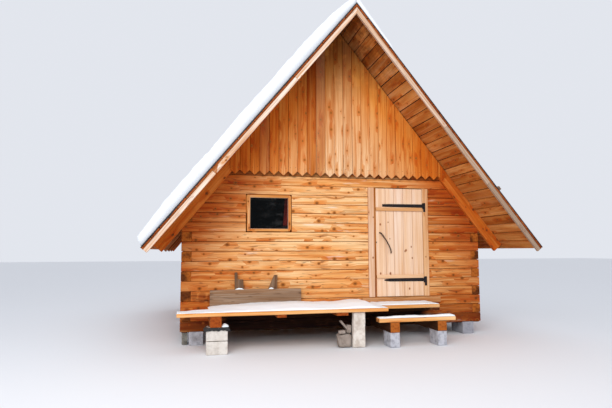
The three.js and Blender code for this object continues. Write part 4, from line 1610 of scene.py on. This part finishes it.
def ledger():
    """The ledger on the wall with its end cleat, and the two long cleats that carry the planks."""
    luck = Random("ledger")
    low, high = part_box("porch_ledger")
    wall_side = high.y - LEDGER_PROUD
    plank_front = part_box("porch_plank_inner")[0].y
    cleat_z = (high.z - CLEAT_DEPTH, high.z)
    end_x, end_y = (high.x - END_CLEAT, high.x), (plank_front, wall_side)
    dark = [
        timber((low.x, wall_side, low.z), high, ALONG_X, luck, tone=0.5),
        timber_in(end_x, end_y, cleat_z, ALONG_Y, luck, tone=0.9),
    ]
    # The ledger, near black with painted shade.
    assemble("ledger_timbers", dark, shade_dark_pine, "dark_timber", ["porch_ledger"])
    cleats = [
        timber_in(edges, (low.y, wall_side), cleat_z, ALONG_Y, luck, tone=0.08) for edges in CLEATS
    ]
    assemble("long_cleats", cleats, orange_pine, "orange_board", ["porch_ledger"])


def bench():
    """A plank on its edge with two legs nailed behind it."""
    luck = Random("bench")
    low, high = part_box("leaning_bench")
    back = low.y + BENCH_PLANK_THICK
    plank = (low, (high.x, back, BENCH_PLANK_TOP))
    parts = [
        timber(*plank, ALONG_X, luck, tone=0.62, wander=0.004, ease=0.005),
        sawn_to_outline(NOTCHED_LEG, back, back + BENCH_LEG_THICK, luck, tone=0.02),
        sawn_to_outline(TAPERED_LEG, back, back + BENCH_LEG_THICK, luck, tone=0.2),
    ]
    assemble("bench_timbers", parts, weathered_pine, "weathered_board", ["leaning_bench"])


def floor():
    """Boards from front to back, on joists that run across the house."""
    luck = Random("floor")
    low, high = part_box("floor")
    under = high.z - FLOOR_BOARD_THICK
    step = (high.x - low.x) / FLOOR_BOARDS
    parts = []
    for i in range(FLOOR_BOARDS):
        left = low.x + i * step
        edges = (left + FLOOR_SEAM_HALF, left + step - FLOOR_SEAM_HALF)
        look = {"tone": luck.uniform(*FLOOR_TONES), "ease": 0.002}
        parts.append(timber_in(edges, (low.y, high.y), (under, high.z), ALONG_Y, luck, **look))
    for i in range(JOISTS):
        middle = low.y + (i + 0.5) * (high.y - low.y) / JOISTS
        faces = (middle - JOIST_WIDTH / 2, middle + JOIST_WIDTH / 2)
        parts.append(timber_in((low.x, high.x), faces, (low.z, under), ALONG_X, luck, tone=0.35))
    assemble("floor_timbers", parts, plank_pine, "pine_log", ["floor"])


# Snow

SNOW_CELL = 0.032
PORCH_SNOW_CELL = 0.025
# Where the snow would be thinner than this, none lies. Elsewhere it is at least twice as thick.
BARE = 0.001
# A corner of the snow this near a border lies on it.
ON_BORDER = 0.0005


def off_borders(place, x_range, y_range):
    """Whether a place lies inside both ranges, off their borders."""
    return all(
        low + ON_BORDER < value < high - ON_BORDER
        for value, (low, high) in ((place.x, x_range), (place.y, y_range))
    )


def lay_snow(
    name, x_range, y_range, depth, cell, place,
    cut=None, base=0.001, finish=porch_snow_painted_bright, stands_for=(),
):
    """Snow over a flat place. Depth gives its thickness at (x, y), 0 or less where none lies."""
    cells = [max(2, round((high - low) / cell)) for low, high in (x_range, y_range)]
    made = sheet_over(x_range, y_range, cells)
    thick = {vert: depth(vert.co.x, vert.co.y) for vert in made.verts}
    bare = [f for f in made.faces if all(thick[v] <= BARE for v in f.verts)]
    bmesh.ops.delete(made, geom=bare, context="FACES")
    ragged = [v for v in made.verts if v.is_boundary and off_borders(v.co, x_range, y_range)]
    for _ in range(3):
        bmesh.ops.smooth_vert(made, verts=ragged, factor=0.5, use_axis_x=True, use_axis_y=True)
    heights = {vert: max(thick[vert], 2 * BARE) for vert in made.verts}
    for vert in second_side(made):
        vert.co.z = base
    for vert, height in heights.items():
        vert.co.z = base + height
    if cut is not None:
        slice_off(made, *cut)
    put_at(made, place)
    face_outwards(made)
    assemble(name, [made], finish, "snow", stands_for, smooth=True)


def rounded_rim(inside, radius, at_edge=0.72):
    """How full a cover is at a distance inside its edge."""
    share = clamped(inside / radius)
    return at_edge + (1 - at_edge) * math.sqrt(1 - (1 - share) ** 2)


# The snow's section on each slope, as (distance down the slope, depth).
LEFT_ROOF_SNOW = [
    (-0.108, 0.089), (0.0, 0.104), (0.14, 0.125), (0.45, 0.168), (1.0, 0.192), (2.0, 0.187),
    (3.0, 0.178), (4.15, 0.162), (4.57, 0.132), (4.65, 0.118), (4.69, 0.06), (4.705, -0.02),
]
RIGHT_ROOF_SNOW = [
    (-0.108, 0.089), (0.0, 0.082), (0.25, 0.064), (0.55, 0.055),
    (0.8, 0.042), (0.9, 0.012), (0.93, -0.02),
]
# The lumps in each cover, as (height, scale, seed).
LEFT_ROOF_LUMPS = [(0.011, 1.8, 3.0), (0.01, 6.5, 9.0), (0.007, 15.0, 2.0)]
RIGHT_ROOF_LUMPS = [(0.016, 4.0, 20.0), (0.008, 12.0, 6.0)]
DECK_LUMPS = [(0.008, 4.5, 1.0), (0.003, 14.0, 4.0)]
DOOR_LUMPS = [(0.009, 5.5, 5.0), (0.003, 16.0, 7.0)]
STEP_LUMPS = [(0.01, 5.5, 8.0), (0.003, 16.0, 3.0)]
# The snow runs this far past the ridge before it is cut there.
PAST_RIDGE = -0.12
ROOF_SNOW_INSET = 0.004
ROOF_SNOW_OFF_FELT = 0.004
# The snow's lower edge has melted back from here on behind the front, over this length.
MELT_FROM = 0.15
MELT_OVER = 0.5


def melted_back(y, reach, scale, seed):
    """How far the snow's lower edge has drawn back up the slope: not at all on the front verge."""
    behind = clamped((y - ROOF_FRONT - MELT_FROM) / MELT_OVER)
    wave = bumps(0.0, y, scale, seed) + 0.3 * bumps(0.0, y, 4 * scale, seed)
    return reach * behind * max(0.0, 0.45 + wave)


def off_gables(y):
    return min(y - ROOF_FRONT, ROOF_BACK - y)


def left_roof_snow(s, y):
    """The depth this far down the left slope."""
    s += melted_back(y, reach=0.06, scale=1.1, seed=14.0)
    rim = rounded_rim(off_gables(y), radius=0.06, at_edge=0.85)
    lumps = ripples(s, y, LEFT_ROOF_LUMPS) * clamped((s - PAST_RIDGE) / 0.5, 0.25)
    return (between(s, LEFT_ROOF_SNOW) + lumps) * rim


def right_roof_snow(s, y):
    """The depth this far down the right slope, where only the top is covered."""
    below_ridge = clamped(s / 0.4)
    s += below_ridge * melted_back(y, reach=0.36, scale=0.7, seed=31.0)
    rim = rounded_rim(off_gables(y), radius=0.06)
    lumps = ripples(s, y, RIGHT_ROOF_LUMPS) * below_ridge
    return (between(s, RIGHT_ROOF_SNOW) + lumps) * rim


def roof_snow():
    y_range = (ROOF_FRONT + ROOF_SNOW_INSET, ROOF_BACK - ROOF_SNOW_INSET)
    covers = ((left_roof_snow, LEFT_ROOF_SNOW), (right_roof_snow, RIGHT_ROOF_SNOW))
    for (side, word), (depth, marks) in zip(SIDES, covers):
        lay_snow(
            f"snow_{word}_slope", (PAST_RIDGE, marks[-1][0]), y_range, depth, SNOW_CELL,
            slope_place(side), cut=RIDGE_CUT, base=ROOF_SNOW_OFF_FELT, finish=roof_snow_painted_dim,
            stands_for=[f"roof_snow_{word}"],
        )


# The edges of the planks that carry the porch's snow
DECK_LEFT = -2.53
DECK_RIGHT = 0.49
DECK_FRONT = -3.05
INNER_PLANK_LEFT = -2.09
OUTER_PLANK_BACK = -2.765
DECK_STEP_BACK = -2.76
BEFORE_DOOR_FRONT = -2.75
BEFORE_DOOR_RIGHT = 1.47
STEP_LEFT = 0.335
STEP_RIGHT = 1.53
STEP_FRONT = -3.13
STEP_BACK = -2.995
# The ranges that the snow covers from front to back
DECK_SNOW_Y = (-3.046, -2.38)
DOOR_SNOW_Y = (-2.742, -2.31)
STEP_SNOW_Y = (-3.122, STEP_BACK)
# Depths at the rear of the deck, from its left end to the step, as (x, depth)
DECK_SNOW = [
    (-2.53, 0.004), (-2.09, 0.02), (-1.7, 0.044), (-1.12, 0.063), (-0.78, 0.068), (-0.5, 0.052),
    (-0.2, 0.05), (0.0, 0.068), (0.27, 0.072), (0.36, 0.03), (0.42, 0.012), (0.5, 0.01),
]
# The share of the depth that is left at the deck's front edge, and the width that it thins over
DECK_FRONT_SHARE = 0.3
DECK_FRONT_WIDTH = 0.28
DOOR_SNOW = 0.013
DOOR_SNOW_SHARES = [(0.4, 1.0), (1.3, 1.1), (1.47, 0.7)]
STEP_SNOW = [(0.33, 0.012), (0.6, 0.026), (1.2, 0.022), (1.54, 0.028)]


def deck_snow(x, y):
    """The depth on the two planks left of the door."""
    if x < INNER_PLANK_LEFT and y > OUTER_PLANK_BACK:
        return 0.0
    off_front = y - DECK_FRONT
    off_right = DECK_RIGHT - x if y < DECK_STEP_BACK else 1.0
    full = min(1.0, off_front / DECK_FRONT_WIDTH)
    depth = between(x, DECK_SNOW) * (DECK_FRONT_SHARE + (1 - DECK_FRONT_SHARE) * full)
    rim = rounded_rim(min(off_front, x - DECK_LEFT, off_right), radius=0.04)
    return (depth + ripples(x, y, DECK_LUMPS)) * rim


def snow_before_door(x, y):
    """The depth on the inner plank before the door."""
    rim = rounded_rim(min(y - BEFORE_DOOR_FRONT, BEFORE_DOOR_RIGHT - x), radius=0.03)
    return (DOOR_SNOW + ripples(x, y, DOOR_LUMPS)) * rim * between(x, DOOR_SNOW_SHARES)


def step_snow(x, y):
    """The depth on the step's plank."""
    inside = min(y - STEP_FRONT, x - STEP_LEFT, STEP_RIGHT - x, STEP_BACK - y)
    rim = rounded_rim(inside, radius=0.04)
    return (between(x, STEP_SNOW) + ripples(x, y, STEP_LUMPS)) * rim


def handful(centre, reach, high):
    """The depth of a small heap round a place (x, y)."""

    def depth(x, y):
        far = math.hypot((x - centre[0]) / reach[0], (y - centre[1]) / reach[1])
        return high * (1 - far * far) + 0.25 * high * bumps(x, y, scale=40.0, seed=1.0)

    return depth


# The heap on the felt pad
PAD_HEAP = handful((-1.878, -2.95), reach=(0.055, 0.1), high=0.035)
PAD_HEAP_X = (-1.928, -1.83)
PAD_HEAP_Y = (-3.03, -2.86)
PAD_HEAP_CELL = 0.01
# Handfuls caught on top of the bench's plank, before its legs: (left, right, height).
BENCH_HANDFULS = [(-1.69, -1.56, 0.022), (-1.175, -1.1, 0.02)]
BENCH_HANDFUL_Y = (-2.362, -2.328)
BENCH_HANDFUL_DEEP = 0.03
BENCH_HANDFUL_CELL = 0.008
SNOW_OFF_PLANK = 0.001
SNOW_OFF_PIER = 0.003


def porch_snow():
    def on(z):
        return Matrix.Translation((0, 0, z))

    deck, cell = on(DECK_TOP + SNOW_OFF_PLANK), PORCH_SNOW_CELL
    deck_x, door_x = (DECK_LEFT, DECK_RIGHT), (DECK_RIGHT, BEFORE_DOOR_RIGHT)
    lay_snow("snow_deck", deck_x, DECK_SNOW_Y, deck_snow, cell, deck)
    lay_snow("snow_before_door", door_x, DOOR_SNOW_Y, snow_before_door, cell, deck)
    step = on(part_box("step_plank")[1].z + SNOW_OFF_PLANK)
    lay_snow("snow_step", (STEP_LEFT, STEP_RIGHT), STEP_SNOW_Y, step_snow, cell, step)
    pad = on(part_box("porch_pier")[1].z + SNOW_OFF_PIER)
    lay_snow("snow_on_pad", PAD_HEAP_X, PAD_HEAP_Y, PAD_HEAP, PAD_HEAP_CELL, pad)
    plank = on(BENCH_PLANK_TOP + SNOW_OFF_PLANK)
    for i, (left, right, high) in enumerate(BENCH_HANDFULS):
        centre = ((left + right) / 2, sum(BENCH_HANDFUL_Y) / 2)
        heap = handful(centre, ((right - left) / 2, BENCH_HANDFUL_DEEP), high)
        name = f"snow_on_bench_{i + 1}"
        lay_snow(name, (left, right), BENCH_HANDFUL_Y, heap, BENCH_HANDFUL_CELL, plank)


# Studio

CAMERA_PLACE = (-2.3417, -10.0773, 1.416)
CAMERA_YAW, CAMERA_PITCH, CAMERA_ROLL = -0.22346, 0.09206, -0.00273
CAMERA_LENS = 29.4118
SENSOR_WIDTH = 36.0
FAR_AWAY = 200.0
# A soft box throws its light forwards more than to the sides.
LIGHT_SPREAD = math.radians(110)
FLOOR_HALF = 60.0


def camera():
    """From left of the middle, at the height of a low eye, turned a little right and up."""
    level = math.cos(CAMERA_PITCH)
    ahead = Vector(
        (-math.sin(CAMERA_YAW) * level, math.cos(CAMERA_YAW) * level, math.sin(CAMERA_PITCH))
    )
    right = Vector((math.cos(CAMERA_YAW), math.sin(CAMERA_YAW), 0.0))
    up = right.cross(ahead)
    tilted_right = right * math.cos(CAMERA_ROLL) + up * math.sin(CAMERA_ROLL)
    tilted_up = up * math.cos(CAMERA_ROLL) - right * math.sin(CAMERA_ROLL)
    lens = bpy.data.cameras.new("camera")
    lens.lens = CAMERA_LENS
    lens.sensor_width = SENSOR_WIDTH
    lens.clip_end = FAR_AWAY
    view = set_out("camera", lens)
    turn = Matrix((tilted_right, tilted_up, -ahead)).transposed().to_4x4()
    view.matrix_world = Matrix.Translation(CAMERA_PLACE) @ turn
    bpy.context.scene.camera = view


def soft_box(name, place, aim, size, power):
    light = bpy.data.lights.new(name, "AREA")
    light.shape = "SQUARE"
    light.size = size
    light.energy = power
    light.spread = LIGHT_SPREAD
    lamp = set_out(name, light)
    turn = (Vector(aim) - Vector(place)).to_track_quat("-Z", "Y").to_matrix().to_4x4()
    lamp.matrix_world = Matrix.Translation(place) @ turn


def studio():
    """A plain pale floor in soft white light, with one soft box in front."""
    world = bpy.data.worlds.new("soft white")
    world.use_nodes = True
    backdrop = world.node_tree.nodes["Background"]
    backdrop.inputs["Color"].default_value = (0.9, 0.93, 1.0, 1.0)
    backdrop.inputs["Strength"].default_value = 0.85
    bpy.context.scene.world = world
    soft_box("front light", (-4.0, -11.0, 6.4), (0.0, -1.0, 1.6), size=7.0, power=325.0)
    ground = bmesh.new()
    bmesh.ops.create_grid(ground, x_segments=2, y_segments=2, size=FLOOR_HALF)
    mesh = bpy.data.meshes.new("studio_floor")
    ground.to_mesh(mesh)
    ground.free()
    plain, _, shader = new_finish("studio floor", roughness=0.95)
    shader.inputs["Base Color"].default_value = (0.8, 0.81, 0.83, 1.0)
    mesh.materials.append(plain)
    set_out("studio_floor", mesh)
    bpy.context.scene.view_settings.view_transform = "Standard"


camera()
studio()
front_wall()
back_wall()
side_wall("logs_left", "left_wall", LEFT)
side_wall("logs_right", "right_wall", RIGHT)
roof()
verges()
gables()
window()
door()
door_posts()
hinges()
branch_handle()
blocks()
felt_pad()
porch()
ledger()
bench()
floor()
roof_snow()
porch_snow()
